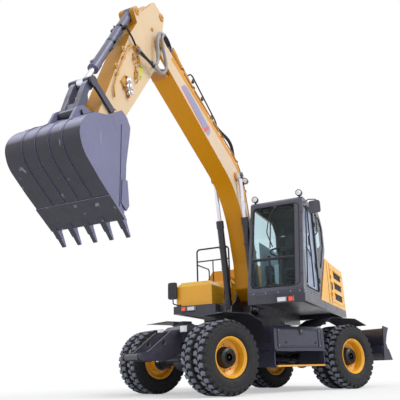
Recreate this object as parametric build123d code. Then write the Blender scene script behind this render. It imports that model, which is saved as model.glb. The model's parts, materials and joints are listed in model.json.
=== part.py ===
from build123d import *
import math
import os

# Wheeled excavator, modelled in millimetres and standing on its tyres at Z = 0.
# Undercarriage frame: +X towards the steered axle, +Y to the left, Z up.
# Upper frame: the same axes turned by SLEW_DEG about the slew axis, +X along the boom.
# Every piece is built in one of these two frames and moved to the part's frame at the end.

# Pose and clearances
SLEW_DEG = 28.7
RUN_GAP = 6.0
SEAT_GAP = 0.3
FIT_GAP = 0.05

# Wheels and axles
FRONT_AXLE_X = 1593.0
REAR_AXLE_X = -1068.0
TYRE_R = 522.0
TYRE_HALF_WIDTH = 137.0
RIM_R = 262.0
RIM_FLANGE_R = 284.0
RIM_HALF_WIDTH = 100.0
DUAL_SPACING = 300.0
WHEEL_OUTER_Y = 1242.0
OUTER_TYRE_Y = WHEEL_OUTER_Y - TYRE_HALF_WIDTH
INNER_TYRE_Y = OUTER_TYRE_Y - DUAL_SPACING
DISC_PLATE = 22.0
DISC_INSET = 38.0
OUTER_DISC_INSET = 78.0
HUB_R = 118.0
KINGPIN_Y = 540.0
KINGPIN_R = 30.0
AXLE_HALF = 85.0
AXLE_FLANGE_R = 130.0
STEER_X = 175.0
STEER_Z = 10.0
STEER_BARREL = 190.0
STEER_ROD_R = 22.0
STEER_EYE_R = 36.0

# Chassis
FRAME_HALF_WIDTH = 300.0
FRAME_BOTTOM = 610.0
FRAME_TOP = 1040.0
FRAME_FRONT = 1780.0
FRAME_REAR = -1480.0
AXLE_ARCH = 160.0
RING_R = 520.0
RING_TOP = 1196.0
BRACKET_Y = 240.0
BRACKET_PLATE = 30.0
BRACKET_TIP = 2560.0
TUBE_R = 42.0
TIE_DOWN_R = 35.0
TIE_DOWN = (BRACKET_TIP - 455, 770.0)
FENDER_TOP = 1165.0
FENDER_INNER_Y = 480.0
FENDER_OUTER_Y = 1080.0
FENDER_PLATE = 8.0
FRONT_FENDER = [(1633.0, 1153.0), (1593.0, FENDER_TOP), (1123.0, FENDER_TOP), (873.0, 1060.0),
                (703.0, 742.0)]
REAR_FENDER = [(-453.0, 1010.0), (-758.0, FENDER_TOP), (-1378.0, FENDER_TOP), (-1683.0, 1060.0)]
BOX_FRONT = 690.0
BOX_REAR = -430.0
BOX_OUTER_Y = 1150.0
BOX_BOTTOM = 628.0
BOX_TOP = 990.0
STEP_Z = 376.0
STEP_PLATE = 28.0

# Dozer blade, its arms and cylinders
BLADE_HALF_WIDTH = 1242.0
BLADE_TOP = 1030.0
BLADE_BOTTOM = 448.0
BLADE_X = -1900.0
BLADE_PLATE = 16.0
BLADE_FACE = ((BLADE_X - 190, BLADE_TOP - 20), (BLADE_X - 70, 742.0), (BLADE_X - 210, BLADE_BOTTOM))
BLADE_ARM_Y = 210.0
BLADE_PIVOT_R = 30.0
BLADE_PIVOT = (-1400.0, 545.0)
BLADE_CYL_BASE = (-1545.0, 985.0)
BLADE_CYL_PIN = (-1790.0, 640.0)
BLADE_CYL_Y = 110.0

# Upper structure
DECK_BOTTOM = 1204.0
DECK_TOP = 1440.0
DECK_FRONT = 1266.0
DECK_HALF_WIDTH = 1240.0
SKIRT_BOTTOM = 1306.0
CAB_RIGHT = 320.0
CAB_LEFT = 1226.0
CAB_FLOOR = 1440.0
CAB_ROOF = 3100.0
ROOF_PANEL = 12.0
CAB_FRONT = 1250.0
CAB_FRONT_TOP = 850.0
CAB_BACK = -560.0
CAB_WALL = 50.0
SCREEN_SPLIT = 560.0
SCREEN_POST = 62.0
GLASS = 8.0
REAR_WINDOW = [(60, 2010, 40), (60, 2990, 60), (-330, 2990, 90), (CAB_BACK + 70, 2830, 90),
               (CAB_BACK + 80, 2500, 60), (-130, 2010, 60)]
RIGHT_WINDOW = [(CAB_FRONT - 170, 1640, 60), (CAB_FRONT_TOP - 50, 2990, 60), (-330, 2990, 90),
                (CAB_BACK + 70, 2830, 90), (CAB_BACK + 80, 2500, 60), (80, 1640, 60)]
BACK_WINDOW = (760.0, 330.0)
DOOR_FRONT = 1040.0
DOOR_REAR = 140.0
SEAT_X = 370.0
TOOLBOX_LEFT = -545.0
TOOLBOX_FRONT = 700.0
TOOLBOX_BOTTOM = 1495.0
TOOLBOX_SEAM = 1700.0
TOOLBOX_TOP = 1880.0
TANK_FRONT = -10.0
TANK_TOP = 1960.0
HOOD_FRONT = -700.0
HOOD_TOP = 2290.0
CW_FRONT = -1950.0
TAIL_SIDE = 58.0
TAIL_R = 2360.0
CW_TOP = 2180.0
LID_FRONT = -780.0
LID_REAR = -1880.0
LID_HALF_WIDTH = 620.0
SIDE_DOOR_FRONT = -760.0
SIDE_DOOR_REAR = -1900.0
SIDE_DOOR_BOTTOM = 1500.0
SIDE_DOOR_TOP = 2130.0
VENT_FRONT = -1080.0
VENT_REAR = -1720.0
VENT_HEIGHT = 112.0
VENT_FLOORS = (1570.0, 1775.0, 1980.0)
VISOR = 24.0
SHEET = 30.0
DOOR_GAP = 6.0
HINGE_R = 11.0
HINGE_PIN_R = 5.0
HINGE_OUT = 12.0

# Boom, arm and bucket: pivots in the upper frame as (x, z), outlines in each piece's own frame,
# with x from its first pin to its next one
BOOM_FOOT = (220.0, 1620.0)
BOOM_LENGTH = 4597.0
BOOM_REST_DEG = 40.4
BOOM_HALF_WIDTH = 160.0
BOOM_EAR = 39.0
BOOM_FORK = 420.0
BOOM_BELLY_R = 1450.0
BOOM_BACK_R = 900.0
BOOM_TIP_R = 130.0
BOOM_FOOT_R = 150.0
BOOM_CYL_BASE = (650.0, 1300.0)
BOOM_CYL_PIN = (1920.0, 905.0)
BOOM_CYL_Y = 234.0
ARM_CYL_BASE = (2400.0, 1150.0)
ARM_LENGTH = 2164.0
ARM_WAIST = (ARM_LENGTH - 819, 288.0)
ARM_REST_DEG = -55.4
ARM_HALF_WIDTH = 115.0
ARM_TIP_R = 92.0
ARM_CYL_PIN = (-493.0, 230.0)
BUCKET_CYL_BASE = (148.0, 566.0)
ROCKER_PIVOT = (ARM_LENGTH - 342, -19.0)
ROCKER_LENGTH = 443.0
ROCKER_REST_DEG = 28.3
ROCKER_PLATE = 28.0
BUCKET_HALF_WIDTH = 445.0
BUCKET_PLATE = 20.0
BUCKET_EAR = 30.0
BUCKET_LINK_PIN = (350.0, 30.0)
TOOTH_COUNT = 5
TOOTH_PITCH = 200.0
STRIP_Y = (-240.0, -80.0, 80.0, 240.0)
STRIP_HALF = 8.0
STRIP_PLATE = 9.0
HOLE_Y = 272.0
HOLE_R = 15.0
PIN_R = 35.0

# Cylinder sizes: radii of barrel, head and rod, half width of the eyes, pin radius, gap from the
# head to the rod's pin when closed, the rod's length still held when open, flattened base
BOOM_CYL = (58.0, 66.0, 35.0, 36.0, 35.0, 110.0, 100.0, 240.0)
ARM_CYL = (60.0, 68.0, 37.0, 42.0, 35.0, 120.0, 100.0, 140.0)
BUCKET_CYL = (56.0, 64.0, 33.0, 42.0, 33.0, 110.0, 90.0, 140.0)
BLADE_CYL = (42.0, 48.0, 24.0, 32.0, 20.0, 54.0, 34.0, 70.0)

# Joint ranges in degrees from the standing pose
BOOM_RANGE = (-70.0, 22.0)
ARM_RANGE = (-48.0, 55.0)
BUCKET_RANGE = (-45.0, 90.0)
BLADE_RANGE = (-43.0, 3.0)
STEER_RANGE = (-28.0, 28.0)


def outline(points):
    """Closed face through (x, y) points; a third value rounds that corner."""
    face = make_face(Polyline([(p[0], p[1]) for p in points], close=True))
    for radius in sorted({p[2] for p in points if len(p) > 2}):
        corners = [
            v for v in face.vertices()
            if any(len(p) > 2 and p[2] == radius and math.dist((v.X, v.Y), p[:2]) < 0.01 for p in points)
        ]
        face = fillet(corners, radius)
    return face


def side_plate(face, y_low, y_high):
    """Extrude a face drawn in (x, z) from y_low to y_high."""
    return extrude(Plane.XZ.offset(-y_high) * face, amount=y_high - y_low)


def slab(points, y_low, y_high):
    return side_plate(outline(points), y_low, y_high)


def floor_plate(points, z_low, z_high):
    """Extrude an outline drawn in (x, y) from z_low to z_high."""
    return extrude(Plane.XY.offset(z_low) * outline(points), amount=z_high - z_low)


def front_plate(points, x_low, x_high):
    """Extrude an outline drawn in (y, z) from x_low to x_high."""
    return extrude(Plane.YZ.offset(x_low) * outline(points), amount=x_high - x_low)


def block(x_low, x_high, y_low, y_high, z_low, z_high):
    return Pos((x_low + x_high) / 2, (y_low + y_high) / 2, (z_low + z_high) / 2) * Box(
        x_high - x_low, y_high - y_low, z_high - z_low)


def rod_y(x, z, radius, y_low, y_high):
    """Round bar across the machine."""
    return Pos(x, (y_low + y_high) / 2, z) * Rot(90, 0, 0) * Cylinder(radius, y_high - y_low)


def rod_between(start, end, radius):
    """Round bar between two points."""
    axis = Vector(*end) - Vector(*start)
    return extrude(Plane(origin=start, z_dir=axis) * Circle(radius), amount=axis.length)


def mirror_y(shape):
    return mirror(shape, about=Plane.XZ)


def both_sides(shape):
    return Compound(children=[*shape.solids(), *mirror_y(shape).solids()])


def turned_y(profile, x, y, z):
    """Revolve a (radius, y) profile about the Y axis through (x, y, z)."""
    face = make_face(Polyline([(r, w) for r, w in profile], close=True))
    return Pos(x, y, z) * revolve(face, Axis.Y, 360)


# Planar placing: (x, z) points turned by an angle that raises +x towards +z
def turn(point, degrees):
    c, s = math.cos(math.radians(degrees)), math.sin(math.radians(degrees))
    return (point[0] * c - point[1] * s, point[0] * s + point[1] * c)


def place(point, origin, degrees):
    x, z = turn(point, degrees)
    return (origin[0] + x, origin[1] + z)


def set_down(shape, origin, degrees):
    return Pos(origin[0], 0, origin[1]) * Rot(0, -degrees, 0) * shape


ARM_PIN = place((BOOM_LENGTH, 0), BOOM_FOOT, BOOM_REST_DEG)
BUCKET_PIN = place((ARM_LENGTH, 0), ARM_PIN, ARM_REST_DEG)
BOOM_CYL_TOP = place(BOOM_CYL_PIN, BOOM_FOOT, BOOM_REST_DEG)
ARM_CYL_FOOT = place(ARM_CYL_BASE, BOOM_FOOT, BOOM_REST_DEG)
ARM_CYL_TOP = place(ARM_CYL_PIN, ARM_PIN, ARM_REST_DEG)
BUCKET_CYL_FOOT = place(BUCKET_CYL_BASE, ARM_PIN, ARM_REST_DEG)
ROCKER_PIN = place(ROCKER_PIVOT, ARM_PIN, ARM_REST_DEG)
LINK_TOP = place((ROCKER_LENGTH, 0), ROCKER_PIN, ROCKER_REST_DEG)
LINK_FOOT = (BUCKET_PIN[0] + BUCKET_LINK_PIN[0], BUCKET_PIN[1] + BUCKET_LINK_PIN[1])


def wheel_profile():
    """Tyre section out to the tips of its lugs, as (radius, y)."""
    half = TYRE_HALF_WIDTH
    seat = RIM_HALF_WIDTH - 8 - 2 * SEAT_GAP
    return [
        (RIM_R + SEAT_GAP, -seat + 6), (RIM_FLANGE_R + SEAT_GAP, -seat), (RIM_FLANGE_R + 6, -half + 32),
        (TYRE_R - 150, -half), (TYRE_R - 42, -half + 14), (TYRE_R, -half + 34), (TYRE_R, half - 34),
        (TYRE_R - 42, half - 14), (TYRE_R - 150, half), (RIM_FLANGE_R + 6, half - 32),
        (RIM_FLANGE_R + SEAT_GAP, seat), (RIM_R + SEAT_GAP, seat - 6),
    ]


def rim(side, inset):
    """One rim about the origin, its disc set in by that much towards the machine."""
    half = RIM_HALF_WIDTH
    disc = -side * inset
    barrel = turned_y([
        (RIM_R, -half + 14), (RIM_R, half - 14), (RIM_FLANGE_R, half - 8), (RIM_FLANGE_R, half + 6),
        (RIM_FLANGE_R - 12, half + 6), (RIM_R - 14, half - 24), (RIM_R - 22, 0),
        (RIM_R - 14, -half + 24), (RIM_FLANGE_R - 12, -half - 6), (RIM_FLANGE_R, -half - 6),
        (RIM_FLANGE_R, -half + 8),
    ], 0, 0, 0)
    plate = turned_y([
        (HUB_R + SEAT_GAP, disc), (RIM_R - 60, disc), (RIM_R - 11, disc + side * 20),
        (RIM_R - 11, disc + side * (20 + DISC_PLATE)), (RIM_R - 70, disc + side * DISC_PLATE),
        (HUB_R + SEAT_GAP, disc + side * DISC_PLATE),
    ], 0, 0, 0)
    return barrel + plate


def tyres(x, side):
    pair = [turned_y(wheel_profile(), x, side * y, TYRE_R) for y in (INNER_TYRE_Y, OUTER_TYRE_Y)]
    return Compound(children=[t for p in pair for t in p.solids()])


def rims(x, side):
    """Two rims with a spacer band between them, and the planetary hub as a piece of its own."""
    outer = Pos(x, side * OUTER_TYRE_Y, TYRE_R) * rim(side, OUTER_DISC_INSET)
    inner = Pos(x, side * INNER_TYRE_Y, TYRE_R) * rim(side, DISC_INSET)
    low = INNER_TYRE_Y + RIM_HALF_WIDTH + 5
    high = OUTER_TYRE_Y - RIM_HALF_WIDTH - 5
    band = turned_y([(RIM_R - 16, side * low), (RIM_FLANGE_R - 4, side * low),
                     (RIM_FLANGE_R - 4, side * high), (RIM_R - 16, side * high)], x, 0, TYRE_R)
    start = side * (KINGPIN_Y + 95)
    mid = side * (INNER_TYRE_Y - DISC_INSET - SEAT_GAP)
    nose = side * (OUTER_TYRE_Y + 48)
    hub = turned_y([(0, start), (HUB_R + 40, start), (HUB_R + 40, mid), (HUB_R, mid),
                    (HUB_R, nose - side * 40), (HUB_R - 30, nose), (0, nose)], x, 0, TYRE_R)
    return Compound(children=[*(outer + band + inner).solids(), *hub.solids()])


def axle_beam(x, half_span, drop):
    """Axle housing: a round differential case and tapered tubes out to each end."""
    case = Pos(x, 0, TYRE_R) * Sphere(AXLE_HALF + 85)
    tube = turned_y([(0, 60), (AXLE_HALF + 50, 60), (AXLE_HALF, 220), (AXLE_HALF - 12, half_span),
                     (0, half_span)], x, 0, TYRE_R)
    pinion = Pos(x + drop * 230, 0, TYRE_R) * Rot(0, 90, 0) * Cylinder(70, 180)
    return case + tube + mirror_y(tube) + pinion


def front_axle():
    beam = axle_beam(FRONT_AXLE_X, KINGPIN_Y - 70, -1)
    for side in (-1, 1):
        y = side * KINGPIN_Y
        for z in (TYRE_R - 118, TYRE_R + 86):
            low, high = sorted((side * 440, y))
            beam += block(FRONT_AXLE_X - 48, FRONT_AXLE_X + 48, low, high, z, z + 32)
            beam += Pos(FRONT_AXLE_X, y, z + 16) * Cylinder(48, 32)
        beam += block(FRONT_AXLE_X - 48, FRONT_AXLE_X + 48, min(side * 430, side * 470),
                      max(side * 430, side * 470), TYRE_R - 118, TYRE_R + 118)
        beam -= Pos(FRONT_AXLE_X, y, TYRE_R) * Cylinder(KINGPIN_R + FIT_GAP, 320)
    saddle = block(FRONT_AXLE_X - 110, FRONT_AXLE_X + 110, -120, 120, TYRE_R + 120,
                   FRAME_BOTTOM + AXLE_ARCH - SEAT_GAP)
    x, z = FRONT_AXLE_X + STEER_X, TYRE_R + STEER_Z
    cylinder = rod_y(x, z, 46, -STEER_BARREL, STEER_BARREL)
    carrier = block(FRONT_AXLE_X + 60, x - 30, -60, 60, TYRE_R - 30, z + 30)
    bore = rod_y(x, z, STEER_ROD_R + FIT_GAP, -STEER_BARREL - 1, STEER_BARREL + 1)
    return beam + saddle + carrier + cylinder - bore


def rear_axle():
    beam = axle_beam(REAR_AXLE_X, KINGPIN_Y + 30, 1)
    for side in (-1, 1):
        beam += turned_y([(0, side * (KINGPIN_Y - 20)), (AXLE_FLANGE_R, side * (KINGPIN_Y - 20)),
                          (AXLE_FLANGE_R, side * (KINGPIN_Y + 95 - SEAT_GAP)),
                          (0, side * (KINGPIN_Y + 95 - SEAT_GAP))], REAR_AXLE_X, 0, TYRE_R)
    saddle = block(REAR_AXLE_X - 110, REAR_AXLE_X + 110, -260, 260, TYRE_R + 40,
                   FRAME_BOTTOM + AXLE_ARCH - SEAT_GAP)
    return beam + saddle


def knuckle(side):
    """Steering knuckle between the axle's ears, with its kingpin, drum flange and steering arm."""
    x = FRONT_AXLE_X
    y = side * KINGPIN_Y
    low, high = sorted((side * (KINGPIN_Y - 44), side * (KINGPIN_Y + 95 - SEAT_GAP)))
    body = block(x - 50, x + 50, low, high, TYRE_R - 84, TYRE_R + 84)
    face_low, face_high = sorted((side * (KINGPIN_Y + 60), side * (KINGPIN_Y + 95 - SEAT_GAP)))
    drum = rod_y(x, TYRE_R, AXLE_FLANGE_R, face_low, face_high)
    pin = Pos(x, y, TYRE_R) * Cylinder(KINGPIN_R, 236)
    lever_z = TYRE_R + STEER_Z - STEER_ROD_R - 2
    # The lever bows outwards, clear of the axle's tube at full lock
    lever = floor_plate([(x, y + side * 42), (x, y - side * 40), (x + 54, y - side * 38),
                         (x + 98, y - side * 16), (x + STEER_X - 15, y - side * 92),
                         (x + STEER_X, y - side * 100), (x + STEER_X + 40, y - side * 70),
                         (x + STEER_X + 40, y - side * 20), (x + STEER_X - 60, y + side * 42)],
                        lever_z - 22, lever_z)
    return body + drum + pin + lever


def steering_rod():
    """Piston rod through the steering cylinder, an eye at each end."""
    x, z = FRONT_AXLE_X + STEER_X, TYRE_R + STEER_Z
    end = KINGPIN_Y - 60
    bar = rod_y(x, z, STEER_ROD_R, -end, end)
    for side in (-1, 1):
        bar += Pos(x, side * end, z) * Cylinder(STEER_EYE_R, 2 * STEER_ROD_R + 2)
    return bar


def chassis_frame():
    side = slab([
        (FRAME_REAR, 720), (FRAME_REAR + 120, FRAME_BOTTOM), (FRAME_FRONT - 60, FRAME_BOTTOM),
        (FRAME_FRONT, FRAME_BOTTOM + 60), (FRAME_FRONT, FRAME_TOP - 60), (FRAME_FRONT - 90, FRAME_TOP),
        (FRAME_REAR + 80, FRAME_TOP), (FRAME_REAR, FRAME_TOP - 80),
    ], -FRAME_HALF_WIDTH, FRAME_HALF_WIDTH)
    for x in (FRONT_AXLE_X, REAR_AXLE_X):
        side -= block(x - 190, x + 190, -FRAME_HALF_WIDTH - 1, FRAME_HALF_WIDTH + 1,
                      FRAME_BOTTOM - 1, FRAME_BOTTOM + AXLE_ARCH)
    top = Pos(0, 0, FRAME_TOP + 15) * Cylinder(RING_R + 90, 30)
    ring = Pos(0, 0, (FRAME_TOP + RING_TOP) / 2) * Cylinder(RING_R, RING_TOP - FRAME_TOP)
    ring -= Pos(0, 0, RING_TOP) * Cylinder(RING_R - 110, 120)
    # Front bracket: two plates with a hollowed edge and a cross tube
    bracket_face = outline([
        (FRAME_FRONT - 1, 960), (FRAME_FRONT + 190, 950), (BRACKET_TIP - 180, 636, 160),
        (BRACKET_TIP - 20, 618), (BRACKET_TIP, 590), (BRACKET_TIP, 525), (FRAME_FRONT + 300, 500),
        (FRAME_FRONT + 240, 520), (FRAME_FRONT - 1, 520 + 100),
    ])
    plate = side_plate(bracket_face, BRACKET_Y - BRACKET_PLATE, BRACKET_Y)
    plate -= rod_y(*TIE_DOWN, TIE_DOWN_R, 0, 400)
    tube = rod_y(BRACKET_TIP - 50, 572, TUBE_R, -BRACKET_Y - 40, BRACKET_Y + 40)
    # Rear lugs: outer ones carry the blade arms, inner ones its cylinders
    px, pz = BLADE_PIVOT
    lug = slab([
        (FRAME_REAR + 1, 760), (FRAME_REAR + 1, 640), (px - 60, pz - 60, 50), (px + 70, pz - 60, 50),
        (FRAME_REAR + 260, 620), (FRAME_REAR + 260, 760),
    ], BLADE_ARM_Y + 40 + RUN_GAP, BLADE_ARM_Y + 68 + RUN_GAP)
    lug -= rod_y(px, pz, BLADE_PIVOT_R + FIT_GAP, 0, 400)
    bx, bz = BLADE_CYL_BASE
    for offset_y in (-1, 1):
        mid = BLADE_CYL_Y + offset_y * (BLADE_CYL[3] + RUN_GAP + 9)
        lug += slab([(FRAME_REAR + 60, FRAME_TOP - 30), (FRAME_REAR + 60, 860), (bx - 5, bz - 60, 40),
                     (bx - 45, bz, 40), (bx - 5, bz + 50, 40)], mid - 9, mid + 9)
    lug += rod_y(bx, bz, BLADE_CYL[4], BLADE_CYL_Y - BLADE_CYL[3] - 34, BLADE_CYL_Y + BLADE_CYL[3] + 34)
    return side + top + ring + plate + mirror_y(plate) + tube + lug + mirror_y(lug)


def fender(line):
    """Bent sheet over a pair of tyres, drawn by its upper side in (x, z)."""
    under = [(x, z - FENDER_PLATE) for x, z in line]
    return slab(line + under[::-1], FENDER_INNER_Y, FENDER_OUTER_Y)


def fenders():
    pieces = []
    for x, line in ((FRONT_AXLE_X - 300, FRONT_FENDER), (REAR_AXLE_X, REAR_FENDER)):
        arm = block(x - 90, x + 90, FRAME_HALF_WIDTH + SEAT_GAP, FENDER_INNER_Y + 120,
                    FENDER_TOP - FENDER_PLATE - 60, FENDER_TOP - FENDER_PLATE)
        post = block(x - 90, x + 90, FRAME_HALF_WIDTH + SEAT_GAP, FRAME_HALF_WIDTH + 30,
                     FRAME_TOP - 120, FENDER_TOP - FENDER_PLATE - 30)
        pieces += (fender(line) + arm + post).solids()
    return both_sides(Compound(children=pieces))


def step_box():
    """Left side box between the axles: tool locker above, two steps below."""
    inner = FRAME_HALF_WIDTH + SEAT_GAP
    locker = block(BOX_REAR, BOX_FRONT, inner, BOX_OUTER_Y, BOX_BOTTOM, BOX_TOP)
    locker = chamfer(locker.edges().filter_by(Axis.X).group_by(Axis.Z)[-1].sort_by(Axis.Y)[-1], 50)
    panel = block(BOX_REAR + 130, BOX_FRONT - 60, BOX_OUTER_Y - 12, BOX_OUTER_Y + 1, BOX_BOTTOM + 45,
                  BOX_TOP - 55)
    rim_cut = block(BOX_REAR + 150, BOX_FRONT - 80, BOX_OUTER_Y - 12, BOX_OUTER_Y + 2, BOX_BOTTOM + 60,
                    BOX_TOP - 70)
    locker -= panel - rim_cut
    lip = block(BOX_REAR, BOX_FRONT, BOX_OUTER_Y - 120, BOX_OUTER_Y + 30, BOX_BOTTOM - 20, BOX_BOTTOM)
    cheeks = [block(x, x + 16, inner + 300, BOX_OUTER_Y - 20, STEP_Z, BOX_BOTTOM - 20)
              for x in (BOX_REAR, BOX_FRONT - 16)]
    step = block(BOX_REAR, BOX_FRONT, BOX_OUTER_Y - 230, BOX_OUTER_Y, STEP_Z, STEP_Z + STEP_PLATE)
    return locker + lip + cheeks[0] + cheeks[1] + step


def drive_line():
    """Transfer case under the frame and a shaft to each axle."""
    case = block(120, 420, -150, 150, 470, FRAME_BOTTOM - SEAT_GAP)
    case = fillet(case.edges().filter_by(Axis.Z), 40)
    front = rod_between((420, 0, TYRE_R + 10), (FRONT_AXLE_X - 321, 0, TYRE_R), 45)
    rear = rod_between((120, 0, TYRE_R + 10), (REAR_AXLE_X + 321, 0, TYRE_R), 45)
    return case + front + rear


def front_lamps():
    lamps = []
    for side in (-1, 1):
        y = side * 335
        lamps += block(FRAME_FRONT + SEAT_GAP, FRAME_FRONT + 55, y - 52, y + 52, 925, 1015).solids()
    return Compound(children=lamps)


def arc_sheet(points, thickness, y_low, y_high):
    """Plate bent to the arc through three (x, z) points, thickened towards +X."""
    near = [(x + thickness, z) for x, z in points]
    edges = [ThreePointArc(*points), Line(points[2], near[2]), ThreePointArc(*near[::-1]),
             Line(near[0], points[0])]
    return side_plate(make_face(edges), y_low, y_high)


def blade():
    """Dozer blade with end plates, cutting edge, back box, two arms and cylinder lugs."""
    half = BLADE_HALF_WIDTH
    board = arc_sheet(BLADE_FACE, BLADE_PLATE, -half + 10, half - 10)
    end_face = outline([
        (BLADE_X - 45, BLADE_TOP + 10), (BLADE_X - 190, BLADE_TOP - 20), (BLADE_X - 120, 880),
        (BLADE_X - 70, 742), (BLADE_X - 120, 590), (BLADE_X - 210, BLADE_BOTTOM),
        (BLADE_X + 40, BLADE_BOTTOM),
    ])
    result = board
    for side in (-1, 1):
        low, high = sorted((side * (half - 20), side * half))
        result += side_plate(end_face, low, high)
    edge = slab([(BLADE_X - 210, BLADE_BOTTOM), (BLADE_X - 182, BLADE_BOTTOM), (BLADE_X - 100, 640),
                 (BLADE_X - 128, 640)], -half, half)
    beam = block(BLADE_X - 80, BLADE_X + 30, -half + 19, half - 19, 560, 700)
    result += edge + beam
    px, pz = BLADE_PIVOT
    for side in (-1, 1):
        low, high = sorted((side * BLADE_ARM_Y, side * (BLADE_ARM_Y + 40)))
        arm = slab([(px, pz + 50), (BLADE_X, 680), (BLADE_X, 570), (px, pz - 50)], low, high)
        arm += rod_y(px, pz, 55, low, high)
        low, high = sorted((side * (BLADE_ARM_Y - 12), side * (BLADE_ARM_Y + 68 + RUN_GAP)))
        result += arm + rod_y(px, pz, BLADE_PIVOT_R, low, high)
        for step in (-1, 1):
            mid = side * BLADE_CYL_Y + step * (BLADE_CYL[3] + RUN_GAP + 9)
            result += slab([(BLADE_X, 560), (BLADE_CYL_PIN[0] + 20, BLADE_CYL_PIN[1] - 50, 40),
                            (BLADE_CYL_PIN[0] + 50, BLADE_CYL_PIN[1] + 50, 40), (BLADE_X, 700)],
                           mid - 9, mid + 9)
    return result


def swing(base, pivot, pin, low, high, sense):
    """Least-squares ratios of a cylinder to the joint it drives: barrel turn and rod travel.

    The pin turns about the pivot by sense times the joint's angle. Returns the barrel's turn
    per radian, the rod's travel per radian, the rest length and the shortest and longest ones.
    """
    rest = math.dist(base, pin)
    start = math.atan2(pin[1] - base[1], pin[0] - base[0])
    samples = [math.radians(low + (high - low) * i / 60) for i in range(61)]
    turn_sum = slide_sum = square_sum = 0.0
    for q in samples:
        offset = turn((pin[0] - pivot[0], pin[1] - pivot[1]), math.degrees(sense * q))
        at = (pivot[0] + offset[0], pivot[1] + offset[1])
        angle = math.atan2(at[1] - base[1], at[0] - base[0]) - start
        angle = (angle + math.pi) % (2 * math.pi) - math.pi
        turn_sum += q * angle
        slide_sum += q * (math.dist(base, at) - rest)
        square_sum += q * q
    barrel = turn_sum / square_sum
    slide = slide_sum / square_sum
    ends = [rest + slide * math.radians(v) for v in (low, high, 0)]
    return barrel, slide, rest, min(ends), max(ends)


BOOM_SWING = swing(BOOM_CYL_BASE, BOOM_FOOT, BOOM_CYL_TOP, *BOOM_RANGE, 1)
ARM_SWING = swing(ARM_CYL_FOOT, ARM_PIN, ARM_CYL_TOP, *ARM_RANGE, -1)
BLADE_SWING = swing(BLADE_CYL_BASE, BLADE_PIVOT, BLADE_CYL_PIN, *BLADE_RANGE, -1)


def bucket_linkage():
    """Ratios of rocker, link, cylinder barrel and rod to the bucket's curl, by least squares."""
    rocker = math.dist(ROCKER_PIN, LINK_TOP)
    link = math.dist(LINK_FOOT, LINK_TOP)
    last = LINK_TOP
    rest = math.dist(BUCKET_CYL_FOOT, LINK_TOP)
    sums = [0.0, 0.0, 0.0, 0.0]
    square_sum = 0.0
    low, high = BUCKET_RANGE
    up = [high * i / 60 for i in range(61)]
    down = [low * i / 30 for i in range(31)]

    def bearing(start, end):
        return math.atan2(end[1] - start[1], end[0] - start[0])

    def wrap(angle):
        return (angle + math.pi) % (2 * math.pi) - math.pi

    for run in (up, down):
        last = LINK_TOP
        for degrees in run:
            q = math.radians(degrees)
            offset = turn(BUCKET_LINK_PIN, -degrees)
            foot = (BUCKET_PIN[0] + offset[0], BUCKET_PIN[1] + offset[1])
            span = math.dist(ROCKER_PIN, foot)
            along = (rocker ** 2 - link ** 2 + span ** 2) / (2 * span)
            across = math.sqrt(max(rocker ** 2 - along ** 2, 0))
            ux, uz = (foot[0] - ROCKER_PIN[0]) / span, (foot[1] - ROCKER_PIN[1]) / span
            tops = [(ROCKER_PIN[0] + along * ux - s * across * uz,
                     ROCKER_PIN[1] + along * uz + s * across * ux) for s in (-1, 1)]
            top = min(tops, key=lambda p: math.dist(p, last))
            last = top
            values = (
                wrap(bearing(ROCKER_PIN, top) - bearing(ROCKER_PIN, LINK_TOP)),
                wrap(bearing(foot, top) - bearing(LINK_FOOT, LINK_TOP) + q),
                wrap(bearing(BUCKET_CYL_FOOT, top) - bearing(BUCKET_CYL_FOOT, LINK_TOP)),
                math.dist(BUCKET_CYL_FOOT, top) - rest,
            )
            sums = [s + q * v for s, v in zip(sums, values)]
            square_sum += q * q
    ratios = [s / square_sum for s in sums]
    ends = [rest + ratios[3] * math.radians(v) for v in (low, high, 0)]
    return ratios, rest, min(ends), max(ends)


BUCKET_RATIOS, BUCKET_CYL_REST, BUCKET_CYL_MIN, BUCKET_CYL_MAX = bucket_linkage()


def barrel(base, pin, shortest, longest, sizes, y=0.0):
    """Cylinder barrel hinged at its base, pointing at the rod's pin at rest."""
    radius, head_r, rod_r, eye_half, pin_r, end_gap, held, neck = sizes
    length = shortest - end_gap
    angle = math.degrees(math.atan2(pin[1] - base[1], pin[0] - base[0]))
    body = rod_between((0, 0, 0), (length - 10, 0, 0), radius)
    body += rod_between((length - 2 * head_r, 0, 0), (length, 0, 0), head_r)
    body += rod_y(0, 0, radius + 12, -eye_half, eye_half)
    body += Pos(length - head_r, 0, head_r - 4) * Cylinder(head_r / 3, 30)
    for low, high in ((-2 * radius, -eye_half), (eye_half, 2 * radius)):
        body -= block(-2 * radius, neck, low, high, -2 * radius, 2 * radius)
    body -= rod_y(0, 0, pin_r + FIT_GAP, -eye_half - 1, eye_half + 1)
    bore_start = shortest - (longest - shortest) - end_gap - held - 10
    body -= rod_between((bore_start, 0, 0), (length + 1, 0, 0), rod_r + FIT_GAP)
    return Pos(0, y, 0) * set_down(body, base, angle)


def piston_rod(base, pin, rest, shortest, longest, sizes, y=0.0):
    """Rod with its closed eye at the driven pin."""
    rod_r, eye_half, pin_r, end_gap, held = sizes[2:7]
    angle = math.degrees(math.atan2(pin[1] - base[1], pin[0] - base[0]))
    tail = rest - (longest - shortest) - end_gap - held
    body = rod_between((tail, 0, 0), (rest, 0, 0), rod_r)
    body += rod_y(rest, 0, 1.9 * pin_r, -eye_half, eye_half)
    body += rod_between((rest - 2.6 * pin_r, 0, 0), (rest - pin_r, 0, 0), rod_r + 7)
    return Pos(0, y, 0) * set_down(body, base, angle)


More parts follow.
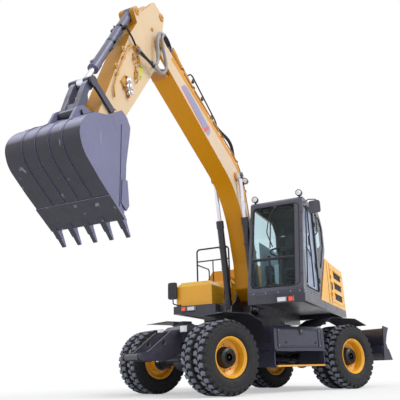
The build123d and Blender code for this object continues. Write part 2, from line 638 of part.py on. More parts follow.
def hinge_leaves(axis):
    """Small butt hinge: its axis along the plane's z, the fixed leaf towards +x, the faces below -y."""
    fixed = Cylinder(HINGE_PIN_R, 80)
    for z in (-28, 28):
        fixed += Pos(0, 0, z) * Cylinder(HINGE_R, 24) + block(0, 42, -HINGE_OUT - 1, -6, z - 12, z + 12)
    moving = Cylinder(HINGE_R, 30) + block(-45, 0, -HINGE_OUT - 1, -6, -15, 15)
    moving -= Cylinder(HINGE_PIN_R + FIT_GAP, 60)
    return axis * fixed, axis * moving


def lid_hinges():
    x, z = LID_FRONT - DOOR_GAP / 2, HOOD_TOP + HINGE_OUT
    return [hinge_leaves(Plane(origin=(x, y, z), x_dir=(1, 0, 0), z_dir=(0, -1, 0))) for y in (-420, 420)]


def side_door_hinges(side):
    x, y = SIDE_DOOR_FRONT - DOOR_GAP / 2, side * (DECK_HALF_WIDTH + HINGE_OUT)
    return [hinge_leaves(Plane(origin=(x, y, z), x_dir=(1, 0, 0), z_dir=(0, 0, side))) for z in (1640, 1960)]


def cab_door_hinges():
    x, y = DOOR_REAR + DOOR_GAP / 2, CAB_LEFT + HINGE_OUT
    return [hinge_leaves(Plane(origin=(x, y, z), x_dir=(-1, 0, 0), z_dir=(0, 0, -1))) for z in (1760, 2760)]


def toolbox_hinges():
    x, z = TANK_FRONT + DOOR_GAP + 7, TOOLBOX_TOP + HINGE_OUT
    return [hinge_leaves(Plane(origin=(x, y, z), x_dir=(-1, 0, 0), z_dir=(0, 1, 0)))
            for y in (180 - DECK_HALF_WIDTH, TOOLBOX_LEFT - 175)]


def turntable():
    """Slewing deck: bearing race, centre box, spine plates with the boom's and cylinders' pins,
    deck plate and edge beams."""
    race = Pos(0, 0, (RING_TOP + SEAT_GAP + DECK_BOTTOM) / 2) * Cylinder(
        RING_R - 20, DECK_BOTTOM - RING_TOP - SEAT_GAP)
    centre = block(-1900, 640, -430, 300, DECK_BOTTOM, DECK_TOP - 40)
    half = DECK_HALF_WIDTH
    tail = CW_FRONT - TAIL_SIDE
    deck_line = [(DECK_FRONT, half), (DECK_FRONT, CAB_RIGHT), (640, CAB_RIGHT), (640, -430), (820, -430),
                 (820, -half), (tail, -half), (tail, half)]
    deck = floor_plate(deck_line, DECK_TOP - 40, DECK_TOP)
    edge = floor_plate(deck_line, SKIRT_BOTTOM, DECK_TOP - 40)
    hollow = floor_plate([
        (DECK_FRONT - 60, half - 60), (DECK_FRONT - 60, CAB_RIGHT + 60), (580, CAB_RIGHT + 60), (580, -490),
        (760, -490), (760, 60 - half), (tail + 60, 60 - half), (tail + 60, half - 60),
    ], SKIRT_BOTTOM - 1, DECK_TOP - 40)
    deck += edge - hollow
    skirt = front_plate([
        (-half, 1420), (-half, 1370, 20), (-half + 130, SKIRT_BOTTOM, 30), (-600, DECK_BOTTOM),
        (-430, DECK_BOTTOM), (-430, DECK_TOP),
    ], 770, 820)
    result = race + centre + deck + skirt
    bracket_low = BOOM_HALF_WIDTH + RUN_GAP
    # The boom drops between its brackets, its cylinders swing in pockets beside them
    result -= block(200, 900, -bracket_low, bracket_low, 1262, DECK_TOP + 1)
    bracket_high = bracket_low + 26
    fx, fz = BOOM_FOOT
    cx, cz = BOOM_CYL_BASE
    side = outline([
        (-640, DECK_TOP - 60), (-420, 1560, 90), (fx - 170, fz + 120, 90), (fx + 150, fz + 130, 90),
        (cx - 120, cz + 200, 80), (cx + 70, cz + 90, 60), (cx + 95, cz - 60, 60), (560, DECK_BOTTOM + 1),
        (-640, DECK_BOTTOM + 1),
    ])
    lug_low = BOOM_CYL_Y + BOOM_CYL[3] + RUN_GAP
    for sign in (-1, 1):
        low, high = sorted((sign * bracket_high, sign * lug_low))
        result -= block(cx - 90, 900, low, high, DECK_BOTTOM - 1, DECK_TOP + 1)
        low, high = sorted((sign * bracket_low, sign * bracket_high))
        result += side_plate(side, low, high)
        low, high = sorted((sign * lug_low, sign * (lug_low + 24)))
        lug = slab([(420, DECK_BOTTOM + 1), (cx - 80, cz + 70, 60), (cx + 80, cz + 70, 60),
                    (cx + 80, cz - 75, 50), (600, DECK_BOTTOM + 1)], low, high)
        result += lug
        inner, outer = sorted((sign * bracket_low, sign * (lug_low + 30)))
        result += rod_y(cx, cz, BOOM_CYL[4], inner, outer)
    result += rod_y(fx, fz, 45, -bracket_high - 8, bracket_high + 8)
    return result


def counterweight():
    """Cast weight closing the tail: flat in front, round behind, its upper rear edge rounded."""
    half = DECK_HALF_WIDTH
    tail = CW_FRONT - TAIL_SIDE
    plan = make_face([
        Line((CW_FRONT, -half), (CW_FRONT, half)), Line((CW_FRONT, half), (tail, half)),
        ThreePointArc((tail, half), (-TAIL_R, 0), (tail, -half)),
        Line((tail, -half), (CW_FRONT, -half)),
    ])
    body = extrude(Plane.XY.offset(DECK_TOP + SEAT_GAP) * plan, amount=CW_TOP - DECK_TOP - SEAT_GAP)
    rear_edges = body.faces().sort_by(Axis.X)[0].edges()
    return fillet(rear_edges.filter_by(lambda e: e.center().Z > CW_TOP - 1), 90)


def hood_profile(width):
    """Cross section of the engine housing in (y, z): upright sides and bevelled shoulders."""
    return [(-width, DECK_TOP + SEAT_GAP), (-width, HOOD_TOP - 150), (-width + 110, HOOD_TOP),
            (width - 110, HOOD_TOP), (width, HOOD_TOP - 60), (width, DECK_TOP + SEAT_GAP)]


def engine_hood():
    """Engine housing: hollow shell with openings for the lid and the two side doors."""
    shell = front_plate(hood_profile(DECK_HALF_WIDTH), CW_FRONT + SEAT_GAP, HOOD_FRONT)
    inner = [(y * (1 - SHEET / DECK_HALF_WIDTH), z if z < DECK_TOP + 1 else z - SHEET)
             for y, z in hood_profile(DECK_HALF_WIDTH)]
    shell -= front_plate([(y, z - 5 if z < DECK_TOP + 1 else z) for y, z in inner],
                         CW_FRONT + SHEET, HOOD_FRONT - SHEET)
    lid_half = LID_HALF_WIDTH
    shell -= block(LID_REAR, LID_FRONT, -lid_half, lid_half, HOOD_TOP - SHEET - 1, HOOD_TOP + 1)
    for sign in (-1, 1):
        low, high = sorted((sign * (DECK_HALF_WIDTH - SHEET - 2), sign * (DECK_HALF_WIDTH + 1)))
        shell -= block(SIDE_DOOR_REAR, SIDE_DOOR_FRONT, low, high, SIDE_DOOR_BOTTOM, SIDE_DOOR_TOP)
    # Left panel that runs forward under the cab's sloping rear corner
    panel = slab([(HOOD_FRONT - 1, DECK_TOP + SEAT_GAP), (150, DECK_TOP + SEAT_GAP), (-440, HOOD_TOP - 40),
                  (HOOD_FRONT - 1, HOOD_TOP - 40)], CAB_LEFT + 2, DECK_HALF_WIDTH)
    shell += panel
    for fixed, _ in (*lid_hinges(), *side_door_hinges(1), *side_door_hinges(-1)):
        shell += fixed
    return shell


def hood_lid():
    """Engine lid with a raised panel, hinged at its front edge."""
    g = DOOR_GAP
    lid = block(LID_REAR + g, LID_FRONT - g, -LID_HALF_WIDTH + g, LID_HALF_WIDTH - g, HOOD_TOP - SHEET,
                HOOD_TOP)
    dome = block(LID_REAR + 70, LID_FRONT - 90, -LID_HALF_WIDTH + 80, LID_HALF_WIDTH - 80, HOOD_TOP - 1,
                 HOOD_TOP + 60)
    dome = chamfer(dome.faces().sort_by(Axis.Z)[-1].edges(), 35)
    lid += dome
    for _, moving in lid_hinges():
        lid += moving
    return lid


def side_door(side):
    """Service door with three louvred vents near its rear end, each under a visor."""
    g = DOOR_GAP
    low, high = sorted((side * (DECK_HALF_WIDTH - SHEET), side * DECK_HALF_WIDTH))
    door = block(SIDE_DOOR_REAR + g, SIDE_DOOR_FRONT - g, low, high, SIDE_DOOR_BOTTOM + g, SIDE_DOOR_TOP - g)
    face = side * DECK_HALF_WIDTH
    recess = sorted((face - side * 20, face + side))
    for z in VENT_FLOORS:
        top = z + VENT_HEIGHT
        door -= block(VENT_REAR, VENT_FRONT, *recess, z, top)
        for slat in range(3):
            low = z + 14 + slat * 34
            inner, outer = face - side * 21, face - side * 3
            door += front_plate([(inner, low + 16), (inner, low + 24), (outer, low + 8), (outer, low)],
                                VENT_REAR - 1, VENT_FRONT + 1)
        inner, outer = face - side, face + side * VISOR
        door += front_plate([(inner, top - 4), (outer, top - 4), (outer, top + 4), (inner, top + 28)],
                            VENT_REAR - 30, VENT_FRONT + 30)
    for _, moving in side_door_hinges(side):
        door += moving
    return door


def engine_block():
    return block(-1750, -850, -380, 420, DECK_TOP + SEAT_GAP, 2080)


def right_side_box():
    """Tank behind and toolbox in front on the right side, the toolbox open under its lid."""
    z0 = DECK_TOP + SEAT_GAP
    tank = block(HOOD_FRONT + SEAT_GAP, TANK_FRONT, -DECK_HALF_WIDTH, TOOLBOX_LEFT + 90, z0, TANK_TOP)
    tank = chamfer(tank.faces().sort_by(Axis.Z)[-1].edges().filter_by(Axis.X), 60)
    filler = Pos(-250, -900, TANK_TOP + 15) * Cylinder(55, 30)
    box = block(TANK_FRONT - 1, TOOLBOX_FRONT, -DECK_HALF_WIDTH, TOOLBOX_LEFT, z0, TOOLBOX_SEAM)
    box -= block(TANK_FRONT + SHEET, TOOLBOX_FRONT - SHEET, -DECK_HALF_WIDTH + SHEET, TOOLBOX_LEFT - SHEET,
                 TOOLBOX_BOTTOM + SHEET, TOOLBOX_SEAM + 1)
    result = tank + filler + box
    for fixed, _ in toolbox_hinges():
        result += fixed
    return result


def toolbox_lid():
    """Bevelled lid over the toolbox, hinged at its rear edge."""
    lid = block(TANK_FRONT + 14, TOOLBOX_FRONT, -DECK_HALF_WIDTH, TOOLBOX_LEFT, TOOLBOX_SEAM + SEAT_GAP,
                TOOLBOX_TOP)
    top = lid.faces().sort_by(Axis.Z)[-1]
    front_edge = top.edges().filter_by(Axis.Y).sort_by(Axis.X)[-1]
    lid = chamfer(top.edges().filter_by(Axis.X) + [front_edge], 85, 75)
    lid -= block(TANK_FRONT + 14 + SHEET, TOOLBOX_FRONT - SHEET, -DECK_HALF_WIDTH + SHEET,
                 TOOLBOX_LEFT - SHEET, TOOLBOX_SEAM - 1, TOOLBOX_TOP - 85 - SHEET)
    for _, moving in toolbox_hinges():
        lid += moving
    return lid


def cab_outline(inset):
    """Cab's side view in (x, z), moved in by a wall thickness."""
    face = outline([
        (CAB_FRONT, CAB_FLOOR + SEAT_GAP), (CAB_FRONT, CAB_FLOOR + 60), (CAB_FRONT_TOP, CAB_ROOF - 50, 40),
        (CAB_FRONT_TOP - 60, CAB_ROOF, 40), (-330, CAB_ROOF, 160), (CAB_BACK, 2860, 160),
        (CAB_BACK, 2420, 120), (120, CAB_FLOOR + 80), (120, CAB_FLOOR + SEAT_GAP),
    ])
    return offset(face, amount=-inset, kind=Kind.INTERSECTION) if inset else face


def screen_plane():
    """Plane of the windscreen, its y axis up along the glass, its origin at the foot of it."""
    start = Vector(CAB_FRONT, (CAB_LEFT + CAB_RIGHT) / 2, CAB_FLOOR + 60)
    end = Vector(CAB_FRONT_TOP, start.Y, CAB_ROOF - 50)
    up = (end - start).normalized()
    return Plane(origin=start, x_dir=(0, 1, 0), z_dir=(up.Z, 0, -up.X)), (end - start).length


def rounded(width, height, radius):
    return RectangleRounded(width, height, radius)


def screen_cut(inset):
    """Two faces in the windscreen's plane, upper and lower, each moved in by an inset."""
    plane, length = screen_plane()
    width = CAB_LEFT - CAB_RIGHT - 2 * SCREEN_POST
    low, high = 55.0, length - 60.0
    parts = []
    for bottom, top in ((low, SCREEN_SPLIT - 14), (SCREEN_SPLIT + 14, high)):
        face = Pos(0, (bottom + top) / 2) * rounded(width - 2 * inset, top - bottom - 2 * inset, 45)
        parts.append(plane * face)
    return parts


def side_window(points, inset):
    face = outline(points)
    return offset(face, amount=-inset) if inset else face


def door_outline(inset):
    face = outline([(DOOR_FRONT + 30, CAB_FLOOR + 70, 40), (DOOR_FRONT + 30, 2200, 200),
                    (CAB_FRONT_TOP - 25, CAB_ROOF - 80, 60), (DOOR_REAR, CAB_ROOF - 80, 40),
                    (DOOR_REAR, CAB_FLOOR + 70, 40)])
    return offset(face, amount=-inset) if inset else face


def cab_frame():
    """Hollow cab: floor, posts and roof, with its door opening and windows cut."""
    body = side_plate(cab_outline(0), CAB_RIGHT, CAB_LEFT)
    inner = side_plate(cab_outline(CAB_WALL), CAB_RIGHT + CAB_WALL, CAB_LEFT - CAB_WALL)
    body -= inner
    for face in screen_cut(0):
        body -= extrude(face, amount=60) + extrude(face, amount=-90)
    body -= side_plate(door_outline(0), CAB_LEFT - CAB_WALL - 1, CAB_LEFT + 1)
    body -= side_plate(side_window(REAR_WINDOW, 0), CAB_LEFT - CAB_WALL - 1, CAB_LEFT + 1)
    body -= side_plate(side_window(RIGHT_WINDOW, 0), CAB_RIGHT - 1, CAB_RIGHT + CAB_WALL + 1)
    mid_y = (CAB_LEFT + CAB_RIGHT) / 2
    behind = Plane(origin=(CAB_BACK, mid_y, 2640), x_dir=(0, -1, 0), z_dir=(-1, 0, 0))
    back = behind * rounded(*BACK_WINDOW, 60)
    body -= extrude(back, amount=10) + extrude(back, amount=-CAB_WALL - 10)
    for fixed, _ in cab_door_hinges():
        body += fixed
    # Raised roof panel, clear of the lamps
    body += block(CAB_BACK + 400, CAB_FRONT_TOP - 160, CAB_RIGHT + 130, CAB_LEFT - 130, CAB_ROOF - 1,
                  CAB_ROOF + ROOF_PANEL)
    return body


def cab_windows():
    panes = []
    for face in screen_cut(SEAT_GAP):
        panes += extrude(face, amount=-GLASS).solids()
    panes += side_plate(side_window(REAR_WINDOW, SEAT_GAP), CAB_LEFT - 14 - GLASS, CAB_LEFT - 14).solids()
    panes += side_plate(side_window(RIGHT_WINDOW, SEAT_GAP), CAB_RIGHT + 10, CAB_RIGHT + 10 + GLASS).solids()
    mid_y = (CAB_LEFT + CAB_RIGHT) / 2
    width, height = BACK_WINDOW
    back = Plane(origin=(CAB_BACK + 10, mid_y, 2640), x_dir=(0, 1, 0), z_dir=(1, 0, 0)) * rounded(
        width - 2 * SEAT_GAP, height - 2 * SEAT_GAP, 60)
    panes += extrude(back, amount=GLASS).solids()
    return Compound(children=panes)


def cab_door():
    """Door leaf as thick as the cab's wall, its window cut, with a grab handle and a mirror."""
    leaf = side_plate(door_outline(DOOR_GAP), CAB_LEFT - CAB_WALL, CAB_LEFT)
    leaf -= side_plate(door_outline(DOOR_GAP + 55), CAB_LEFT - CAB_WALL - 1, CAB_LEFT + 1)
    bar = block(DOOR_REAR + 5 + DOOR_GAP, DOOR_REAR + 60 + DOOR_GAP, CAB_LEFT - 1, CAB_LEFT + 6, 2150, 2500)
    bracket = rail([(760, CAB_LEFT - 10, 2985), (700, CAB_LEFT + 70, 3060), (640, CAB_LEFT + 190, 3060),
                    (640, CAB_LEFT + 190, 2960)], 10, 25)
    head = block(620, 660, CAB_LEFT + 60, CAB_LEFT + 250, 2830, 3040)
    head = fillet(head.edges().filter_by(Axis.X), 40)
    leaf += bar + bracket + head
    for _, moving in cab_door_hinges():
        leaf += moving
    return leaf


def cab_door_window():
    return side_plate(door_outline(DOOR_GAP + 55 + SEAT_GAP), CAB_LEFT - 24 - GLASS, CAB_LEFT - 24)


def operator_seat():
    mid_y = (CAB_LEFT + CAB_RIGHT) / 2
    x = SEAT_X
    base = block(x - 180, x + 180, mid_y - 180, mid_y + 180, CAB_FLOOR + CAB_WALL + SEAT_GAP, 1840)
    cushion = block(x - 230, x + 270, mid_y - 245, mid_y + 245, 1839, 1960)
    back = Pos(x - 190, mid_y, 2290) * Rot(0, -10, 0) * Box(120, 470, 700)
    head = Pos(x - 262, mid_y, 2720) * Rot(0, -10, 0) * Box(90, 260, 190)
    stem = Pos(x - 245, mid_y, 2620) * Rot(0, -10, 0) * Box(40, 120, 120)
    return base + cushion + back + head + stem


def consoles():
    """Steering column with its wheel, two joystick consoles and the monitor."""
    floor = CAB_FLOOR + CAB_WALL + SEAT_GAP
    mid_y = (CAB_LEFT + CAB_RIGHT) / 2
    column = rod_between((880, mid_y, floor + 40), (751, mid_y, 2190), 45)
    foot = block(820, 960, mid_y - 110, mid_y + 110, floor, floor + 120)
    wheel_plane = Plane(origin=(748, mid_y, 2200), z_dir=(-120, 0, 660))
    wheel = Solid.make_torus(180, 16, wheel_plane)
    hub = extrude(wheel_plane * Circle(60), amount=20, both=True)
    spokes = extrude(wheel_plane * Rectangle(350, 30), amount=8, both=True)
    pieces = (column + foot + wheel + hub + spokes).solids()
    for side in (-1, 1):
        y = mid_y + side * 320
        x = SEAT_X
        console = slab([(x - 150, floor + 100), (x + 120, floor + 330, 30), (x + 130, 2060, 30),
                        (x - 320, 1990, 30), (x - 320, 1850, 30)], y - 52, y + 52)
        stick = rod_between((x + 30, y, 2050), (x + 50, y, 2190), 17) + Pos(x + 52, y, 2210) * Sphere(30)
        post = block(x - 120, x + 40, y - 50, y + 50, floor, floor + 260)
        pieces += (console + stick + post).solids()
    return Compound(children=pieces)


def rail(points, radius, bend):
    """Bent round tube through the points."""
    path = FilletPolyline(*points, radius=bend)
    section = Plane(origin=path @ 0, z_dir=path % 0) * Circle(radius)
    return sweep(section, path=path)


def rails_and_mirrors():
    """Guard rail across the front of the tank, walkway rail beside it, mirrors on their arms."""
    x = TANK_FRONT - 60
    base = TANK_TOP + SEAT_GAP
    upper, lower = 2630, 2390
    r = 16
    left, right = TOOLBOX_LEFT + 40, -DECK_HALF_WIDTH + 60
    pieces = []
    guard = rail([(x, right, base), (x, right, upper), (x, left, upper), (x, left, base)], r, 60)
    middle = (left + right) / 2
    guard += rod_between((x, right, lower), (x, left, lower), r - 3)
    guard += rod_between((x, middle, base), (x, middle, lower), r - 4)
    walkway = [(x - 4, right, lower - 60), (x - 560, right, lower - 60), (x - 560, right, base)]
    guard += rail(walkway, r - 3, 60)
    pieces += guard.solids()
    # Right mirror in front of the toolbox
    x, y = TOOLBOX_FRONT, -DECK_HALF_WIDTH
    arm = rail([(x + 20, y + 60, 1460), (x + 60, y - 40, 1500), (x + 60, y - 50, 1700)], 11, 25)
    glass = block(x + 40, x + 80, y - 135, y + 35, 1580, 1880)
    glass = fillet(glass.edges().filter_by(Axis.X), 35)
    foot = block(x, x + 40, y + 40, y + 90, DECK_TOP, 1480)
    pieces += (arm + glass + foot).solids()
    return Compound(children=pieces)


def upper_lamps():
    """Two lamps in each front corner, two lamps on the cab's roof edge."""
    pieces = []
    for low, high in ((-1080, -985), (-965, -810)):
        pieces += block(820 + SEAT_GAP, 842, low, high, 1345, 1425).solids()
    for low, high in ((802, 955), (980, 1065)):
        pieces += block(DECK_FRONT + SEAT_GAP, DECK_FRONT + 22, low, high, 1312, 1398).solids()
    for y in (CAB_RIGHT + 60, CAB_LEFT - 60):
        post = Pos(CAB_FRONT_TOP - 90, y, CAB_ROOF + SEAT_GAP + 15) * Cylinder(14, 30)
        lamp = Pos(CAB_FRONT_TOP - 90, y, CAB_ROOF + 78) * Rot(0, 90, 0) * Cylinder(52, 70)
        pieces += (post + lamp).solids()
    return Compound(children=pieces)


def boom():
    """Bent box boom: narrow at the foot, deepest at the bend, a fork at the tip."""
    face = outline([
        (-BOOM_FOOT_R + 20, 60, 90), (-60, -BOOM_FOOT_R + 5, 100), (300, -175, 60), (592, 140, 200),
        (1606, 759, BOOM_BELLY_R), (BOOM_LENGTH - 60, -BOOM_TIP_R + 5, 60),
        (BOOM_LENGTH + BOOM_TIP_R - 10, -60, 90), (BOOM_LENGTH + 60, BOOM_TIP_R, 90),
        (1822, 1270, BOOM_BACK_R),
    ])
    body = side_plate(face, -BOOM_HALF_WIDTH, BOOM_HALF_WIDTH)
    foot_cut = rod_y(0, 0, 45 + FIT_GAP, -BOOM_HALF_WIDTH - 1, BOOM_HALF_WIDTH + 1)
    slot_half = BOOM_HALF_WIDTH - BOOM_EAR
    slot = block(BOOM_LENGTH - BOOM_FORK, BOOM_LENGTH + 400, -slot_half, slot_half, -400, 400)
    body = body - foot_cut - slot
    px, pz = BOOM_CYL_PIN
    body += rod_y(px, pz, 80, -BOOM_CYL_Y + BOOM_CYL[3] + RUN_GAP, BOOM_CYL_Y - BOOM_CYL[3] - RUN_GAP)
    ax, az = ARM_CYL_BASE
    for sign in (-1, 1):
        low, high = sorted((sign * (ARM_CYL[3] + RUN_GAP), sign * (ARM_CYL[3] + RUN_GAP + 30)))
        body += slab([
            (ax - 130, az - 170), (ax - 60, az + 60, 50), (ax + 60, az + 60, 50), (ax + 150, az - 200),
        ], low, high)
    outer = ARM_CYL[3] + RUN_GAP + 30
    body += rod_y(ax, az, ARM_CYL[4], -outer - 8, outer + 8)
    body += rod_y(BOOM_LENGTH, 0, PIN_R, -BOOM_HALF_WIDTH - 14, BOOM_HALF_WIDTH + 14)
    lamp = Pos(1650, BOOM_HALF_WIDTH + 45, 1160) * Sphere(45) + block(
        1630, 1670, BOOM_HALF_WIDTH - 1, BOOM_HALF_WIDTH + 30, 1100, 1150)
    return set_down(body + lamp, BOOM_FOOT, BOOM_REST_DEG)


def arm():
    """Arm: box with ears for its own cylinder behind, the bucket cylinder on top, rockers at the tip."""
    bx, bz = BUCKET_CYL_BASE
    rx, rz = ROCKER_PIVOT
    px, pz = ARM_CYL_PIN
    face = outline([
        (px - 55, pz + 40, 50), (-480, 466, 30), (bx - 120, bz - 55), (bx - 60, bz + 62, 55),
        (bx + 60, bz + 62, 55), (bx + 130, bz - 106), (568, 440), ARM_WAIST, (ARM_LENGTH - 80, 130),
        (ARM_LENGTH + ARM_TIP_R - 6, 55, 60),
        (ARM_LENGTH + ARM_TIP_R - 6, -60, 60), (ARM_LENGTH - 100, -105), (ARM_LENGTH - 583, -185),
        (679, -178, 300),
        (160, -150, 60), (-140, -110, 80), (-300, 60, 200), (px - 60, pz - 50, 50),
    ])
    body = side_plate(face, -ARM_HALF_WIDTH, ARM_HALF_WIDTH)
    for x in (0, ARM_LENGTH):
        body -= rod_y(x, 0, PIN_R + FIT_GAP, -ARM_HALF_WIDTH - 1, ARM_HALF_WIDTH + 1)
    eye_half = ARM_CYL[3] + RUN_GAP
    body -= block(px - 400, px + 150, -eye_half, eye_half, pz - 150, pz + 700)
    body -= block(bx - 160, bx + 160, -eye_half, eye_half, bz - 75, bz + 300)
    body += rod_y(bx, bz, BUCKET_CYL[4], -ARM_HALF_WIDTH - 10, ARM_HALF_WIDTH + 10)
    body += rod_y(rx, rz, PIN_R, -ARM_HALF_WIDTH - 50, ARM_HALF_WIDTH + 50)
    return set_down(body, ARM_PIN, ARM_REST_DEG)


def rockers():
    """Pair of side links from the arm to the link's upper pin."""
    pieces = []
    for sign in (-1, 1):
        inner = ARM_HALF_WIDTH + RUN_GAP
        low, high = sorted((sign * inner, sign * (inner + ROCKER_PLATE)))
        bar = slab([(0, -42), (ROCKER_LENGTH, -42), (ROCKER_LENGTH, 42), (0, 42)], low, high)
        bar += rod_y(0, 0, 62, low, high) + rod_y(ROCKER_LENGTH, 0, 62, low, high)
        bar -= rod_y(0, 0, PIN_R + FIT_GAP, low - 1, high + 1)
        pieces += set_down(bar, ROCKER_PIN, ROCKER_REST_DEG).solids()
    return Compound(children=pieces)


def bucket_link():
    """Link from the rod's eye to the bucket, its legs joined above the lower pin."""
    length = math.dist(LINK_TOP, LINK_FOOT)
    angle = math.degrees(math.atan2(LINK_TOP[1] - LINK_FOOT[1], LINK_TOP[0] - LINK_FOOT[0]))
    inner = BUCKET_CYL[3] + RUN_GAP
    outer = ARM_HALF_WIDTH - 4
    result = rod_y(0, 0, 60, -ARM_HALF_WIDTH, ARM_HALF_WIDTH)
    for sign in (-1, 1):
        low, high = sorted((sign * inner, sign * outer))
        # Each leg is hollowed where it passes the arm's tip with the bucket curled in
        result += slab([(0, -50), (260, -62, 200), (400, -62, 100), (length, -48), (length, 48),
                        (400, 42, 40), (358, 14, 40), (294, 14, 40), (250, 46, 60), (0, 50)], low, high)
        result += rod_y(length, 0, 64, low, high)
    result += block(20, 130, -inner - 1, inner + 1, -40, 40)
    result -= rod_y(0, 0, PIN_R + FIT_GAP, -ARM_HALF_WIDTH - 1, ARM_HALF_WIDTH + 1)
    return set_down(result, LINK_FOOT, angle)


def bucket_outline():
    """Side view of the bucket about its arm pin, mouth towards -x, teeth down."""
    return outline([
        (90, 100, 20), (330, -62, 30), (570, -140, 300), (700, -262, 300), (752, -400, 180),
        (690, -565, 300), (420, -765, 200), (10, -1040, 10), (-6, -860), (-14, -460, 200),
        (-62, -150, 60), (-78, -30, 30), (-10, 60, 30),
    ])


def bucket():
    """Digging bucket: shell, side plates, ears, teeth, side cutters and wear strips."""
    half = BUCKET_HALF_WIDTH
    solid = side_plate(bucket_outline(), -half, half)
    core = offset(bucket_outline(), amount=-BUCKET_PLATE)
    cavity = side_plate(core, -half + BUCKET_PLATE, half - BUCKET_PLATE)
    mouth = Pos(-120, 0, 0) * cavity + Pos(-60, 0, 0) * cavity
    # The shell's own top lies below the side plates, clear of the arm's tip
    saddle = side_plate(outline([(-200, 300), (400, 300), (400, -78, 40), (150, -140, 100), (-200, -165)]),
                        -half + BUCKET_PLATE, half - BUCKET_PLATE)
    top = side_plate(outline([(-28, -160), (150, -140, 100), (400, -78, 40), (520, -110), (520, -131),
                              (400, -98, 40), (150, -160, 100), (-28, -181)]),
                     -half + BUCKET_PLATE - 1, half - BUCKET_PLATE + 1)
    shell = solid - cavity - mouth - saddle + top
    for sign in (-1, 1):
        low = ARM_HALF_WIDTH + RUN_GAP
        low, high = sorted((sign * low, sign * (low + BUCKET_EAR)))
        lx, lz = BUCKET_LINK_PIN
        ear = slab([
            (-20, 92, 60), (60, 88), (lx, lz + 85, 70), (lx + 90, lz + 20, 60), (520, -115), (520, -125),
            (400, -94), (150, -155), (-62, -180), (-90, -20, 60),
        ], low, high)
        ear += rod_y(0, 0, 88, low, high)
        shell += ear
    shell += rod_y(0, 0, PIN_R, -ARM_HALF_WIDTH - 60, ARM_HALF_WIDTH + 60)
    shell += rod_y(*BUCKET_LINK_PIN, PIN_R, -ARM_HALF_WIDTH - 60, ARM_HALF_WIDTH + 60)
    # Wear strips from the back round the heel, and two holes above it
    band = offset(bucket_outline(), amount=STRIP_PLATE) - offset(bucket_outline(), amount=-1)
    band = band & outline([(380, 100), (900, 100), (900, -1000), (275, -1000), (275, -500), (380, -500)])
    for y in STRIP_Y:
        shell += side_plate(band, y - STRIP_HALF, y + STRIP_HALF)
    for y in (-HOLE_Y, HOLE_Y):
        shell -= rod_between((590, y, -280), (720, y, -140), HOLE_R)
    # Lip plate and teeth
    shell += slab([(5, -1052), (262, -880), (246, -852), (-12, -1020)], -half - 8, half + 8)
    tooth = slab([
        (95, -990), (-10, -1078), (-140, -1196), (-152, -1184), (-70, -1042), (-18, -996), (75, -932),
    ], -32, 32)
    for low, high in ((-60, -22), (22, 60)):
        tooth -= slab([(-60, -1260), (-60, -1000), (-200, -1000), (-200, -1260)], low, high)
    for i in range(TOOTH_COUNT):
        shell += Pos(0, (i - (TOOTH_COUNT - 1) / 2) * TOOTH_PITCH, 0) * tooth
    for sign in (-1, 1):
        low, high = sorted((sign * (half - 1), sign * (half + 14)))
        cutter = slab([
            (-20, -640), (70, -660), (80, -900), (-14, -960), (-60, -900), (-40, -760),
        ], low, high)
        outer = sorted((sign * (half - 1), sign * (half + 6)))
        strip = slab([(60, -60), (92, -60), (92, -960), (60, -960)], *outer)
        shell += cutter + strip
    return Pos(BUCKET_PIN[0], 0, BUCKET_PIN[1]) * shell


UPPER = Rot(0, 0, SLEW_DEG)


